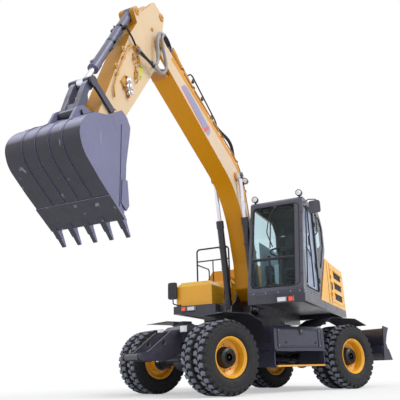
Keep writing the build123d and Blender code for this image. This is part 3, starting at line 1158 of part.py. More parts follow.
def build():
    """All nodes in the undercarriage frame, by name."""
    nodes = {
        "chassis_frame": chassis_frame(),
        "front_axle": front_axle(),
        "rear_axle": rear_axle(),
        "drive_line": drive_line(),
        "fenders": fenders(),
        "step_boxes": both_sides(step_box()),
        "front_lamps": front_lamps(),
        "steering_rod": steering_rod(),
        "blade": blade(),
    }
    for name, side in (("left", 1), ("right", -1)):
        nodes[f"knuckle_{name}"] = knuckle(side)
        for end, x in (("front", FRONT_AXLE_X), ("rear", REAR_AXLE_X)):
            nodes[f"tyres_{end}_{name}"] = tyres(x, side)
            nodes[f"rims_{end}_{name}"] = rims(x, side)
    shortest, longest = BLADE_SWING[3:]
    barrels = [barrel(BLADE_CYL_BASE, BLADE_CYL_PIN, shortest, longest, BLADE_CYL, s * BLADE_CYL_Y)
               for s in (-1, 1)]
    rods = [piston_rod(BLADE_CYL_BASE, BLADE_CYL_PIN, *BLADE_SWING[2:], BLADE_CYL, s * BLADE_CYL_Y)
            for s in (-1, 1)]
    nodes["blade_barrels"] = Compound(children=[s for b in barrels for s in b.solids()])
    nodes["blade_rods"] = Compound(children=[s for r in rods for s in r.solids()])
    upper = {
        "turntable": turntable(),
        "counterweight": counterweight(),
        "engine_hood": engine_hood(),
        "hood_lid": hood_lid(),
        "left_service_door": side_door(1),
        "right_service_door": side_door(-1),
        "engine_block": engine_block(),
        "right_side_box": right_side_box(),
        "toolbox_lid": toolbox_lid(),
        "cab_frame": cab_frame(),
        "cab_windows": cab_windows(),
        "cab_door": cab_door(),
        "cab_door_window": cab_door_window(),
        "operator_seat": operator_seat(),
        "consoles": consoles(),
        "rails_and_mirrors": rails_and_mirrors(),
        "upper_lamps": upper_lamps(),
        "boom": boom(),
        "arm": arm(),
        "rockers": rockers(),
        "bucket_link": bucket_link(),
        "bucket": bucket(),
    }
    shortest, longest = BOOM_SWING[3:]
    boom_barrels = [barrel(BOOM_CYL_BASE, BOOM_CYL_TOP, shortest, longest, BOOM_CYL, s * BOOM_CYL_Y)
                    for s in (-1, 1)]
    boom_rods = [piston_rod(BOOM_CYL_BASE, BOOM_CYL_TOP, *BOOM_SWING[2:], BOOM_CYL, s * BOOM_CYL_Y)
                 for s in (-1, 1)]
    upper["boom_barrels"] = Compound(children=[s for b in boom_barrels for s in b.solids()])
    upper["boom_rods"] = Compound(children=[s for r in boom_rods for s in r.solids()])
    upper["arm_barrel"] = barrel(ARM_CYL_FOOT, ARM_CYL_TOP, ARM_SWING[3], ARM_SWING[4], ARM_CYL)
    upper["arm_rod"] = piston_rod(ARM_CYL_FOOT, ARM_CYL_TOP, *ARM_SWING[2:], ARM_CYL)
    upper["bucket_barrel"] = barrel(BUCKET_CYL_FOOT, LINK_TOP, BUCKET_CYL_MIN, BUCKET_CYL_MAX, BUCKET_CYL)
    upper["bucket_rod"] = piston_rod(BUCKET_CYL_FOOT, LINK_TOP, BUCKET_CYL_REST, BUCKET_CYL_MIN,
                                     BUCKET_CYL_MAX, BUCKET_CYL)
    nodes.update({name: UPPER * shape for name, shape in upper.items()})
    return nodes


# The part's origin: under the middle of its bounding box, on the floor
NODES = build()
BOX = Compound(children=[s for shape in NODES.values() for s in shape.solids()]).bounding_box()
SHIFT = (-(BOX.min.X + BOX.max.X) / 2, -(BOX.min.Y + BOX.max.Y) / 2, -BOX.min.Z)

os.makedirs("parts", exist_ok=True)
for name, shape in NODES.items():
    export_step(Pos(*SHIFT) * shape, f"parts/{name}.step")
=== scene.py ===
import json
import math
import bmesh
import bpy
from mathutils import Matrix, Vector


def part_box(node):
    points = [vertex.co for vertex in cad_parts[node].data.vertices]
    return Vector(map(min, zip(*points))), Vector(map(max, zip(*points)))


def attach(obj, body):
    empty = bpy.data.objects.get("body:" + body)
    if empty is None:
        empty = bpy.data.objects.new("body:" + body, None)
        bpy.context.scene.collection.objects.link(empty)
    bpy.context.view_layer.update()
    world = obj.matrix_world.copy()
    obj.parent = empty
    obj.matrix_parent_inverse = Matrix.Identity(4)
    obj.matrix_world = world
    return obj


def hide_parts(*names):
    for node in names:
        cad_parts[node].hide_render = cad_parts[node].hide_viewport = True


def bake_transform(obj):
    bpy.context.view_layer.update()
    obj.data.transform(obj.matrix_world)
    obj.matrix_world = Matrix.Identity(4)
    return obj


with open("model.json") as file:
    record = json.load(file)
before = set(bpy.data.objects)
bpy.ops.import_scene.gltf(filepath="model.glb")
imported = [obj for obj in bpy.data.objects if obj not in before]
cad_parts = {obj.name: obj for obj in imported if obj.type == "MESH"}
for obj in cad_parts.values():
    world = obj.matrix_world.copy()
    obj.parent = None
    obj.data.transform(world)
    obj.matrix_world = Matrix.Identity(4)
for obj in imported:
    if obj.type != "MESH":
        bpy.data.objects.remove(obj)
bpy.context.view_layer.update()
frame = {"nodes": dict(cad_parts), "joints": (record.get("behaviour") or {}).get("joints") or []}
NODES = frame["nodes"]
JOINTS = {joint["name"]: joint for joint in frame["joints"]}

# Photograph: a frame of 400 by 400 pixels, and where its camera stood
LENS_MM = 46.67
SENSOR_MM = 36.0
CAMERA_FROM_SLEW = (6.402, 7.121, 0.341)
CAMERA_YAW = math.radians(-126.26)
CAMERA_PITCH = math.radians(18.3)
CAMERA_ROLL = math.radians(-1.59)

# Tyres, as the rims carry them
TYRE_R = 0.522
TYRE_HALF = 0.137
LUG_DEPTH = 0.026
LUG_COUNT = 30
RIM_SEAT_R = 0.284
DUAL_SPACING = 0.300
HUB_SHADE_R = 0.150
HUB_NOSE = 0.048
DISC_FACE = -0.056
NUT_COUNT = 10
NUT_CIRCLE_R = 0.178
# Tread block on one side of the middle, as (across, around) in shares of the half width and the pitch
LUG_OUTLINE = ((0.10, 0.10), (0.42, 0.34), (0.62, 0.24), (1.0, 0.20), (1.0, 0.80), (0.64, 0.84), (0.40, 0.92),
               (0.06, 0.62))

# Outer faces that trim lies on, in metres left of the middle
BOOM_FACE = 0.1598
ARM_FACE = 0.115
DOOR_FACE = 1.2262
HOOD_FACE = 1.2405
BOX_FACE = 1.1503


def spot(joint):
    return Vector(JOINTS[joint]["pos_m"])


class Axes:
    """A corner of the machine with its own forward, left and up, in which points are given in metres."""

    def __init__(self, origin, forward, left):
        self.origin = Vector(origin)
        self.x = Vector(forward).normalized()
        self.y = Vector(left).normalized()
        self.z = self.x.cross(self.y)

    def at(self, x, y, z):
        return self.origin + self.x * x + self.y * y + self.z * z

    def way(self, x, y, z):
        return (self.x * x + self.y * y + self.z * z).normalized()

    def moved(self, x, y, z):
        return Axes(self.at(x, y, z), self.x, self.y)


LEFT = -Vector(JOINTS["boom_lift"]["axis"])
SLEW = Vector((spot("slew").x, spot("slew").y, 0))
UNDER = Axes(SLEW, (1, 0, 0), (0, 1, 0))
UPPER = Axes(SLEW, LEFT.cross(Vector((0, 0, 1))), LEFT)
BOOM = Axes(spot("boom_lift"), spot("arm_swing") - spot("boom_lift"), LEFT)
ARM = Axes(spot("arm_swing"), spot("bucket_curl") - spot("arm_swing"), LEFT)
DOWN_FRONT = UPPER.way(0.75, 0, -0.66)
LEFT_FLAT = Vector((0, 1, 0))


def place_camera():
    camera = bpy.data.objects.new("camera", bpy.data.cameras.new("camera"))
    bpy.context.scene.collection.objects.link(camera)
    camera.data.lens = LENS_MM
    camera.data.sensor_width = SENSOR_MM
    camera.data.clip_end = 200
    flat = math.cos(CAMERA_PITCH)
    ahead = Vector((math.cos(CAMERA_YAW) * flat, math.sin(CAMERA_YAW) * flat, math.sin(CAMERA_PITCH)))
    right = ahead.cross(Vector((0, 0, 1))).normalized()
    top = right.cross(ahead)
    c, s = math.cos(CAMERA_ROLL), math.sin(CAMERA_ROLL)
    rolled = right * c + top * s
    top = top * c - right * s
    turn = Matrix((rolled, top, -ahead)).transposed().to_4x4()
    camera.matrix_world = Matrix.Translation(SLEW + Vector(CAMERA_FROM_SLEW)) @ turn
    bpy.context.scene.camera = camera


def srgb(code):
    """Linear colour of a six digit colour code."""
    parts = [int(code[i:i + 2], 16) / 255 for i in (0, 2, 4)]
    return [p / 12.92 if p <= 0.04045 else ((p + 0.055) / 1.055) ** 2.4 for p in parts] + [1.0]


def new_node(tree, kind, operation=None, **values):
    """Shader node of a kind; its inputs are named with underscores for blanks."""
    node = tree.nodes.new(f"ShaderNode{kind}")
    if operation:
        node.operation = operation
    for name, value in values.items():
        node.inputs[name.replace("_", " ")].default_value = value
    return node


def feed(tree, socket, value):
    """Links a socket to another, or sets it to a plain value."""
    if isinstance(value, bpy.types.NodeSocket):
        tree.links.new(value, socket)
    else:
        socket.default_value = value


def calc(tree, kind, operation, output, *values):
    """Output of a Math or VectorMath node that takes the values in order."""
    node = new_node(tree, kind, operation)
    for socket, value in zip(node.inputs, values):
        feed(tree, socket, value)
    return node.outputs[output]


class Surface:
    """A material under construction: a Principled shader with procedural inputs."""

    def __init__(self, name, roughness=0.5, metallic=0.0, coat=0.0):
        self.material = bpy.data.materials.new(name)
        self.material.use_nodes = True
        self.tree = self.material.node_tree
        self.shader = self.tree.nodes["Principled BSDF"]
        self.shader.inputs["Roughness"].default_value = roughness
        self.shader.inputs["Metallic"].default_value = metallic
        self.shader.inputs["Coat Weight"].default_value = coat
        self.shader.inputs["Coat Roughness"].default_value = 0.12
        self.coords = self.tree.nodes.new("ShaderNodeTexCoord")
        self.place = self.coords.outputs["Object"]

    def link(self, source, target):
        self.tree.links.new(source, target)

    def noise(self, scale, detail=4.0, stretch=(1, 1, 1)):
        mapping = new_node(self.tree, "Mapping", Scale=stretch)
        self.link(self.place, mapping.inputs["Vector"])
        node = new_node(self.tree, "TexNoise", Scale=scale, Detail=detail)
        self.link(mapping.outputs["Vector"], node.inputs["Vector"])
        return node.outputs["Fac"]

    def wave(self, scale, distortion=0.0):
        node = new_node(self.tree, "TexWave", Scale=scale, Distortion=distortion)
        self.link(self.place, node.inputs["Vector"])
        return node.outputs["Fac"]

    def spread(self, value, low, high, to_low=0.0, to_high=1.0):
        node = new_node(self.tree, "MapRange", From_Min=low, From_Max=high, To_Min=to_low, To_Max=to_high)
        self.link(value, node.inputs["Value"])
        return node.outputs["Result"]

    def maths(self, operation, first, second):
        return calc(self.tree, "Math", operation, "Value", first, second)

    def mixed(self, share, first, second):
        node = self.tree.nodes.new("ShaderNodeMix")
        node.data_type = "RGBA"
        self.link(share, node.inputs["Factor"])
        feed(self.tree, node.inputs[6], first)
        feed(self.tree, node.inputs[7], second)
        return node.outputs[2]

    def mottled(self, base, share, scale, detail, low, high):
        """Colour that drifts between base and a darker share of it."""
        return self.mixed(self.spread(self.noise(scale, detail), low, high), base, darker(base, share))

    def toward(self, direction):
        """How squarely the surface faces a direction of the frame, from -1 to 1."""
        return calc(self.tree, "VectorMath", "DOT_PRODUCT", "Value", self.coords.outputs["Normal"], direction)

    def facing(self, direction):
        """The same, either way, from 0 to 1."""
        return self.maths("ABSOLUTE", self.toward(direction), 0.0)

    def off_axis(self, centre):
        """Distance in metres from a line across the machine through a point."""
        away = calc(self.tree, "VectorMath", "SUBTRACT", "Vector", self.place, centre)
        flat = calc(self.tree, "VectorMath", "MULTIPLY", "Vector", away, (1, 0, 1))
        return calc(self.tree, "VectorMath", "LENGTH", "Value", flat)

    def bump(self, value, strength, distance):
        node = new_node(self.tree, "Bump", Strength=strength, Distance=distance)
        self.link(value, node.inputs["Height"])
        self.link(node.outputs["Normal"], self.shader.inputs["Normal"])

    def colour(self, value):
        self.link(value, self.shader.inputs["Base Color"])

    def rough(self, value):
        self.link(value, self.shader.inputs["Roughness"])


def darker(colour, share):
    return [c * share for c in colour[:3]] + [1.0]


def paint(name, code, roughness=0.38, side=None, under=None, coat=0.25, dust=0.10, peel=0.06, shine=0.5,
          belly=None):
    """Sprayed paint: soft mottle, thin dust and an orange peel bump. side is a painted highlight: a paler second
    colour for the flat sides, as if lit; under is painted shade for what faces down and forward, belly painted
    shade for what faces the ground."""
    s = Surface(name, roughness, coat=coat)
    s.shader.inputs["Specular IOR Level"].default_value = shine
    base = srgb(code)
    mottle = s.spread(s.noise(1.7, 3), 0.35, 0.7)
    tone = s.mixed(mottle, base, darker(base, 0.88))
    # Painted highlight: the flat sides of both flanks take the paler side colour, as if lit.
    if side:
        lit_flank = srgb(side)
        flat = s.spread(s.facing(LEFT), 0.72, 0.86)
        tone = s.mixed(flat, tone, s.mixed(mottle, lit_flank, darker(lit_flank, 0.93)))
    grime = s.maths("MULTIPLY", s.spread(s.noise(6.5, 8), 0.52, 0.74), dust)
    tone = s.mixed(grime, tone, srgb("8A8478"))
    # Painted shade: what faces down and forward takes the darker under colour.
    if under:
        tone = s.mixed(s.spread(s.toward(DOWN_FRONT), 0.25, 0.8), tone, srgb(under))
    # Painted shade: what faces the ground takes the darker belly colour.
    if belly:
        tone = s.mixed(s.spread(s.toward((0, 0, -1)), 0.5, 0.9), tone, srgb(belly))
    s.colour(tone)
    s.rough(s.spread(s.noise(9, 5), 0.3, 0.7, roughness - 0.06, roughness + 0.1))
    s.bump(s.noise(260, 2), peel, 0.001)
    return s.material


def worn_steel(name, code, under, scratch="B4B4C0", roughness=0.42):
    """Painted digging steel: painted shade on what faces down and forward, a painted highlight on the rolled top,
    and a few fine scratches that show a paler metal.
    """
    s = Surface(name, roughness, metallic=0.1, coat=0.15)
    base = srgb(code)
    tone = s.mottled(base, 0.88, 2.2, 5, 0.35, 0.7)
    # Painted highlight: the rolled top, which faces up and forward, turns paler.
    lit_roll = s.spread(s.toward(UPPER.way(0.93, 0, 0.37)), 0.86, 0.98)
    tone = s.mixed(lit_roll, tone, srgb("A3A3BC"))
    # Painted shade: what faces down and forward takes the darker under colour.
    belly = s.spread(s.toward(DOWN_FRONT), 0.30, 0.62)
    tone = s.mixed(belly, tone, s.mottled(srgb(under), 0.8, 3.1, 6, 0.3, 0.7))
    streaks = s.spread(s.noise(15, 9, (1, 1, 0.10)), 0.665, 0.70)
    tone = s.mixed(s.maths("MULTIPLY", streaks, 0.35), tone, srgb(scratch))
    s.colour(tone)
    s.rough(s.spread(s.noise(14, 6), 0.3, 0.7, roughness - 0.1, roughness + 0.14))
    s.bump(s.noise(70, 8), 0.12, 0.002)
    return s.material


def rubber(name, code="2B2B30", dust=0.22, lit_tread=None):
    """Rubber, on tyres with the tops of the tread paler than its grooves as a painted highlight."""
    s = Surface(name, 0.72)
    base = srgb(code)
    tone = s.mottled(base, 0.7, 5, 6, 0.3, 0.75)
    grime = s.maths("MULTIPLY", s.spread(s.noise(16, 9), 0.5, 0.8), dust)
    tone = s.mixed(grime, tone, srgb("6B675F"))
    # Painted highlight: the outermost tread, near the full radius, turns paler.
    if lit_tread:
        near = s.maths("MINIMUM", s.off_axis(wheel_centre("front")), s.off_axis(wheel_centre("rear")))
        lit_tops = srgb(lit_tread)
        crown = s.mottled(lit_tops, 0.72, 11, 6, 0.3, 0.75)
        tone = s.mixed(s.spread(near, TYRE_R - 0.016, TYRE_R - 0.008), tone, crown)
    s.colour(tone)
    s.rough(s.spread(s.noise(30, 5), 0.3, 0.7, 0.62, 0.85))
    s.bump(s.noise(180, 4), 0.15, 0.001)
    return s.material


def plastic(name, code, roughness=0.5, grain=330):
    s = Surface(name, roughness)
    base = srgb(code)
    s.colour(s.mottled(base, 0.85, 3, 4, 0.35, 0.7))
    s.rough(s.spread(s.noise(18, 5), 0.3, 0.7, roughness - 0.06, roughness + 0.08))
    s.bump(s.noise(grain, 3), 0.14, 0.001)
    return s.material


def bright_metal(name, code, roughness=0.14):
    """Ground and polished rod, with faint lengthwise marks."""
    s = Surface(name, roughness, metallic=1.0)
    base = srgb(code)
    s.colour(s.mottled(base, 0.88, 12, 5, 0.3, 0.75))
    s.rough(s.spread(s.noise(120, 3), 0.3, 0.7, roughness, roughness + 0.1))
    s.bump(s.noise(500, 2), 0.03, 0.0005)
    return s.material


def glass(name, code, roughness=0.02, clear=0.90):
    s = Surface(name, roughness)
    s.shader.inputs["Transmission Weight"].default_value = clear
    s.shader.inputs["IOR"].default_value = 1.08
    base = srgb(code)
    s.colour(s.mottled(base, 0.96, 1.2, 2, 0.35, 0.7))
    s.rough(s.spread(s.noise(7, 6), 0.45, 0.8, roughness, roughness + 0.03))
    return s.material


def lens(name, code, glow=0.0):
    """Ribbed lamp cover."""
    s = Surface(name, 0.12, coat=0.6)
    base = srgb(code)
    ribs = s.wave(60)
    s.colour(s.mixed(s.spread(ribs, 0.2, 0.8), base, darker(base, 0.8)))
    s.bump(ribs, 0.3, 0.002)
    s.shader.inputs["Emission Color"].default_value = base
    s.shader.inputs["Emission Strength"].default_value = glow
    return s.material


def fabric(name, code):
    s = Surface(name, 0.85)
    s.shader.inputs["Sheen Weight"].default_value = 0.35
    base = srgb(code)
    weave = s.wave(160, 1.5)
    tone = s.mixed(s.spread(weave, 0.2, 0.8), base, darker(base, 0.75))
    s.colour(s.mixed(s.spread(s.noise(4, 4), 0.4, 0.7), tone, darker(base, 0.9)))
    s.bump(weave, 0.25, 0.001)
    return s.material


def cast_iron(name, code):
    s = Surface(name, 0.6, metallic=0.3)
    base = srgb(code)
    s.colour(s.mottled(base, 0.65, 8, 8, 0.35, 0.7))
    s.bump(s.noise(90, 8), 0.35, 0.003)
    return s.material


def rim_paint(name, code):
    """Rim enamel, with a dark disc round the planetary hub in the middle of each wheel: the hub's own dark finish
    and painted shade of the deep dish round it.
    """
    s = Surface(name, 0.34, coat=0.4)
    base = srgb(code)
    tone = s.mottled(base, 0.88, 1.7, 3, 0.35, 0.7)
    grime = s.maths("MULTIPLY", s.spread(s.noise(6.5, 8), 0.5, 0.74), 0.10)
    tone = s.mixed(grime, tone, srgb("8A7A58"))
    # Painted shade: a dark disc of radius HUB_SHADE_R round each hub, partly the hub's own dark.
    near = s.maths("MINIMUM", s.off_axis(wheel_centre("front")), s.off_axis(wheel_centre("rear")))
    hub = s.spread(near, HUB_SHADE_R - 0.004, HUB_SHADE_R)
    hub_dark_and_shade = s.mixed(s.spread(s.noise(13, 6), 0.35, 0.7), srgb("2A2930"), srgb("3B3941"))
    s.colour(s.mixed(hub, hub_dark_and_shade, tone))
    s.rough(s.spread(s.noise(9, 5), 0.3, 0.7, 0.3, 0.46))
    s.bump(s.noise(260, 2), 0.06, 0.001)
    return s.material


def wheel_centre(end):
    return spot(f"wheel_{end}_left_spin")


# In the finishes below, side colours are a painted highlight on the flanks; under and belly colours, and the third
# colour of worn_steel, are painted shade.
MATERIALS = {finish.name.split(".")[0]: finish for finish in (
    paint("chassis_paint", "302F3E", 0.42, dust=0.06, belly="0B0B10"),
    paint("body_yellow", "F4B02A", 0.34, under="D9930F", coat=0.2, dust=0.03, shine=0.3),
    paint("boom_cream", "D8931A", 0.36, side="DAC1A4", under="CF8A04", coat=0.1, dust=0.03, shine=0.2),
    paint("arm_cream", "CF8E1E", 0.36, side="DCC09A", under="B57A12", coat=0.12, dust=0.04, shine=0.25),
    worn_steel("bucket_steel", "6F6F8E", "2C2B37"),
    paint("cylinder_paint", "5D5D78", 0.35, dust=0.04),
    paint("yellow_cylinder", "D6921C", 0.34, dust=0.03, shine=0.3),
    bright_metal("rod_chrome", "E6E6F2", 0.22),
    # Its fourth colour is a painted highlight on the tread tops.
    rubber("tyre_rubber", "111116", 0.04, "7E808E"),
    # Its dark disc round each hub is partly the hub's own dark and partly painted shade.
    rim_paint("rim_yellow", "F0AC1A"),
    plastic("dark_plastic", "24232C"),
    paint("cab_grey", "4A4B5D", 0.4, under="3A3A48", dust=0.04, belly="0B0B10"),
    glass("pane", "E2F1F5", clear=0.985),
    paint("black_paint", "201F28", 0.36, dust=0.04),
    # Near-black seat fabric: a dark fabric, made darker as painted shade inside the cab.
    fabric("seat_fabric", "23252B"),
    cast_iron("engine_iron", "55565C"),
    lens("lamp_lens", "EDEFF4", 0.05),
    paint("box_grey", "36364A", 0.4, dust=0.05, belly="0B0B10"),
)}
# A paler, brighter copy of body_yellow for the toolbox lid and the right side box: a painted highlight, with
# painted shade in its under colour.
LIT_BOX_YELLOW = paint("lit_box_yellow", "FFC63C", 0.3, under="F5AE1E", coat=0.3, dust=0.02, shine=0.4)
NODE_MATERIALS = {
    "toolbox_lid": LIT_BOX_YELLOW,
    "right_side_box": LIT_BOX_YELLOW,
    # Linkage and rockers: painted shade beneath and a painted highlight on the rolled top, from worn_steel.
    "bucket_link": worn_steel("linkage_steel", "4A4A5E", "2B2A35"),
    "rockers": worn_steel("rocker_steel", "3F3E50", "2B2A35"),
    # Pale, half clear door glass: a painted reflection of the bright surround.
    "cab_door_window": glass("door_pane_reflection", "CBD6EA", clear=0.5),
}
HOSE = rubber("hose_rubber", "26262B", 0.08)
GREY_HOSE = plastic("hose_sleeve", "8E8E92", 0.42, 600)
PIPE_PAINT = paint("pipe_paint", "C98E28", 0.35, dust=0.04)
BOLT_STEEL = bright_metal("bolt_steel", "8C8C92", 0.35)
PALE_METAL = bright_metal("pale_metal", "DADBE0", 0.30)
RUST = paint("rusty_bolt", "A5541C", 0.6, dust=0.2)
TAG = paint("clip_green", "CFCB3C", 0.4, dust=0.04)
# Darker orange for the belly of the boom's tip: painted shade.
SHADED_BELLY = paint("shaded_belly_orange", "B9771A", 0.4, dust=0.04)
CHASSIS = MATERIALS["chassis_paint"]
BLACK_PAINT = MATERIALS["black_paint"]
LAMP_LENS = MATERIALS["lamp_lens"]
STRIPE_BLUE = paint("stripe_blue", "8F93B4", 0.4, dust=0.02)
STRIPE_RED = paint("stripe_red", "D8525A", 0.4, dust=0.02)
AMBER = lens("amber_lens", "F2501A", 0.35)
# Near-black sheets inside the cab: painted shade.
SHADE_LINING = plastic("cab_shade_lining", "14141A", 0.7)
HUB_BLACK = plastic("hub_black", "131319", 0.42)
FLANGE = paint("boom_flange", "D8931A", 0.36, coat=0.1, dust=0.03, shine=0.2)
# Pale sheets inside the cab: a painted reflection of the glare in its glass.
PAINTED_REFLECTION = plastic("painted_reflection_panel", "B4CBD2", 0.5)
MESH_DARK = plastic("vent_mesh", "191A21", 0.6)
STEP_YELLOW = paint("step_yellow", "E9A51C", 0.4, dust=0.05)
SEAL = rubber("seal_rubber", "1C1C20", 0.02)
MIRROR = bright_metal("mirror_glass", "C9D2DA", 0.03)


def dress_nodes():
    """Gives every material slot of the CAD nodes its procedural finish."""
    for name, node in NODES.items():
        for slot in node.material_slots:
            key = slot.material.name.split(".")[0] if slot.material else ""
            slot.material = NODE_MATERIALS.get(name) or MATERIALS.get(key, MATERIALS["chassis_paint"])


def tube_faces(rings, count):
    """Faces between rings of points, each of count points."""
    return [[ring * count + i, ring * count + (i + 1) % count, (ring + 1) * count + (i + 1) % count,
             (ring + 1) * count + i] for ring in range(rings - 1) for i in range(count)]


class Piece:
    """One mesh gathered from many small forms, each with a material of its own."""

    def __init__(self, name):
        self.name = name
        self.points = []
        self.faces = []
        self.kinds = []
        self.soft = []
        self.materials = []

    def add(self, points, faces, material, smooth=False):
        if material not in self.materials:
            self.materials.append(material)
        start = len(self.points)
        self.points += [Vector(p) for p in points]
        self.faces += [[start + i for i in face] for face in faces]
        self.kinds += [self.materials.index(material)] * len(faces)
        self.soft += [smooth] * len(faces)

    def prism(self, low, high, material):
        """Solid between two rings of the same number of points."""
        n = len(low)
        sides = [[i, (i + 1) % n, n + (i + 1) % n, n + i] for i in range(n)]
        self.add(list(low) + list(high), sides + [list(range(n))[::-1], list(range(n, 2 * n))], material)

    def plate(self, axes, outline, low, high, material):
        """Outline of (x, z) points, from y low to y high of the axes."""
        self.prism(*([axes.at(x, y, z) for x, z in outline] for y in (low, high)), material)

    def brick(self, axes, centre, size, material, chamfer=0.0):
        """Box with its four long edges cut, long along its y."""
        cx, cy, cz = centre
        hx, hy, hz = (v / 2 for v in size)
        k = chamfer
        ring = [(-hx, -hz + k), (-hx + k, -hz), (hx - k, -hz), (hx, -hz + k),
                (hx, hz - k), (hx - k, hz), (-hx + k, hz), (-hx, hz - k)]
        if not k:
            ring = [(-hx, -hz), (hx, -hz), (hx, hz), (-hx, hz)]
        self.plate(axes.moved(cx, cy, cz), ring, -hy, hy, material)

    def turned(self, foot, way, profile, material, count=20, smooth=True):
        """Profile of (radius, height) turned about a line from foot along way."""
        way = Vector(way).normalized()
        side = way.orthogonal().normalized()
        other = way.cross(side)
        points = []
        for radius, height in profile:
            for i in range(count):
                a = 2 * math.pi * i / count
                points.append(foot + way * height + (side * math.cos(a) + other * math.sin(a)) * radius)
        self.add(points, tube_faces(len(profile), count), material, smooth)

    def bolt(self, foot, way, radius, material, height=None):
        """Hexagon head on a round washer."""
        height = height or radius * 0.8
        washer = [(0, 0), (radius * 1.35, 0), (radius * 1.35, height * 0.25), (radius, height * 0.25)]
        head = [(radius, height * 0.2), (radius, height * 0.92), (radius * 0.86, height), (0, height)]
        self.turned(foot, way, washer, material, 16, False)
        self.turned(foot, way, head, material, 6, False)

    def cap(self, foot, way, radius, thickness, material):
        """Round pin cover with a cut edge."""
        edge = min(thickness * 0.35, radius * 0.2)
        profile = [(radius, 0), (radius, thickness - edge), (radius - edge, thickness), (0, thickness)]
        self.turned(foot, way, profile, material, 28, False)

    def pipe(self, route, radius, material, sides=10):
        """Round bar along a route of points, its ends closed."""
        rings = []
        side = None
        for i, point in enumerate(route):
            ahead = (route[min(i + 1, len(route) - 1)] - route[max(i - 1, 0)]).normalized()
            side = ahead.orthogonal() if side is None else side - ahead * side.dot(ahead)
            side.normalize()
            other = ahead.cross(side)
            for k in range(sides):
                a = 2 * math.pi * k / sides
                rings.append(point + (side * math.cos(a) + other * math.sin(a)) * radius)
        n = len(route)
        faces = tube_faces(n, sides)
        faces.append(list(range(sides))[::-1])
        faces.append([(n - 1) * sides + k for k in range(sides)])
        self.add(rings, faces, material, True)

    def bent(self, axes, points, bend, radius, material, sides=10):
        """Steel pipe through points of the axes, with round bends."""
        self.pipe(rounded_route([axes.at(*p) for p in points], bend), radius, material, sides)

    def bar(self, axes, start, end, radius, material, sides=8):
        self.pipe([axes.at(*start), axes.at(*end)], radius, material, sides)

    def build(self):
        mesh = bpy.data.meshes.new(self.name)
        mesh.from_pydata([tuple(p) for p in self.points], [], self.faces)
        for material in self.materials:
            mesh.materials.append(material)
        mesh.polygons.foreach_set("material_index", self.kinds)
        mesh.polygons.foreach_set("use_smooth", self.soft)
        mesh.update()
        shape = bpy.data.objects.new(self.name, mesh)
        bpy.context.scene.collection.objects.link(shape)
        work = bmesh.new()
        work.from_mesh(mesh)
        bmesh.ops.remove_doubles(work, verts=work.verts, dist=1e-6)
        bmesh.ops.recalc_face_normals(work, faces=work.faces)
        work.to_mesh(mesh)
        work.free()
        return shape

    def on(self, body, slot=None):
        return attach(self.build(), body)


def rounded_route(points, bend, steps=6):
    """Points of a bent steel pipe: straight runs joined by round bends of one radius."""
    route = [points[0]]
    for before, corner, after in zip(points, points[1:], points[2:]):
        back = (before - corner).normalized()
        on = (after - corner).normalized()
        half = back.angle(on) / 2
        reach = min(bend / math.tan(half), (before - corner).length * 0.49, (after - corner).length * 0.49)
        start, end = corner + back * reach, corner + on * reach
        for i in range(steps + 1):
            t = i / steps
            route.append(start.lerp(corner, t).lerp(corner.lerp(end, t), t))
    return route + [points[-1]]


def hose_route(points, count=40):
    """Centre line of a hose through a few control points, as a smooth NURBS line."""
    curve = bpy.data.curves.new("route", "CURVE")
    curve.dimensions = "3D"
    spline = curve.splines.new("NURBS")
    spline.points.add(len(points) - 1)
    for slot, point in zip(spline.points, points):
        slot.co = (*point, 1)
    spline.order_u = 4
    spline.use_endpoint_u = True
    curve.resolution_u = max(2, count // len(points))
    holder = bpy.data.objects.new("route", curve)
    mesh = bpy.data.meshes.new_from_object(holder)
    route = [v.co.copy() for v in mesh.vertices]
    bpy.data.objects.remove(holder)
    bpy.data.curves.remove(curve)
    bpy.data.meshes.remove(mesh)
    return route


def fitting(piece, route, radius):
    """Crimped steel ends on a hose, with their hexagon nuts."""
    nut = [(0, 0), (radius * 1.7, 0), (radius * 1.7, 0.022), (radius * 1.2, 0.022)]
    crimp = [(radius * 1.25, 0), (radius * 1.3, 0.04), (radius, 0.042)]
    for end, after in ((route[0], route[2]), (route[-1], route[-3])):
        way = (after - end).normalized()
        piece.turned(end - way * 0.004, way, nut, BOLT_STEEL, 6, False)
        piece.turned(end + way * 0.018, way, crimp, BOLT_STEEL, 14)


def tyre_points(radius, y, angle, centre):
    return Vector((centre.x + math.cos(angle) * radius, centre.y + y, centre.z + math.sin(angle) * radius))


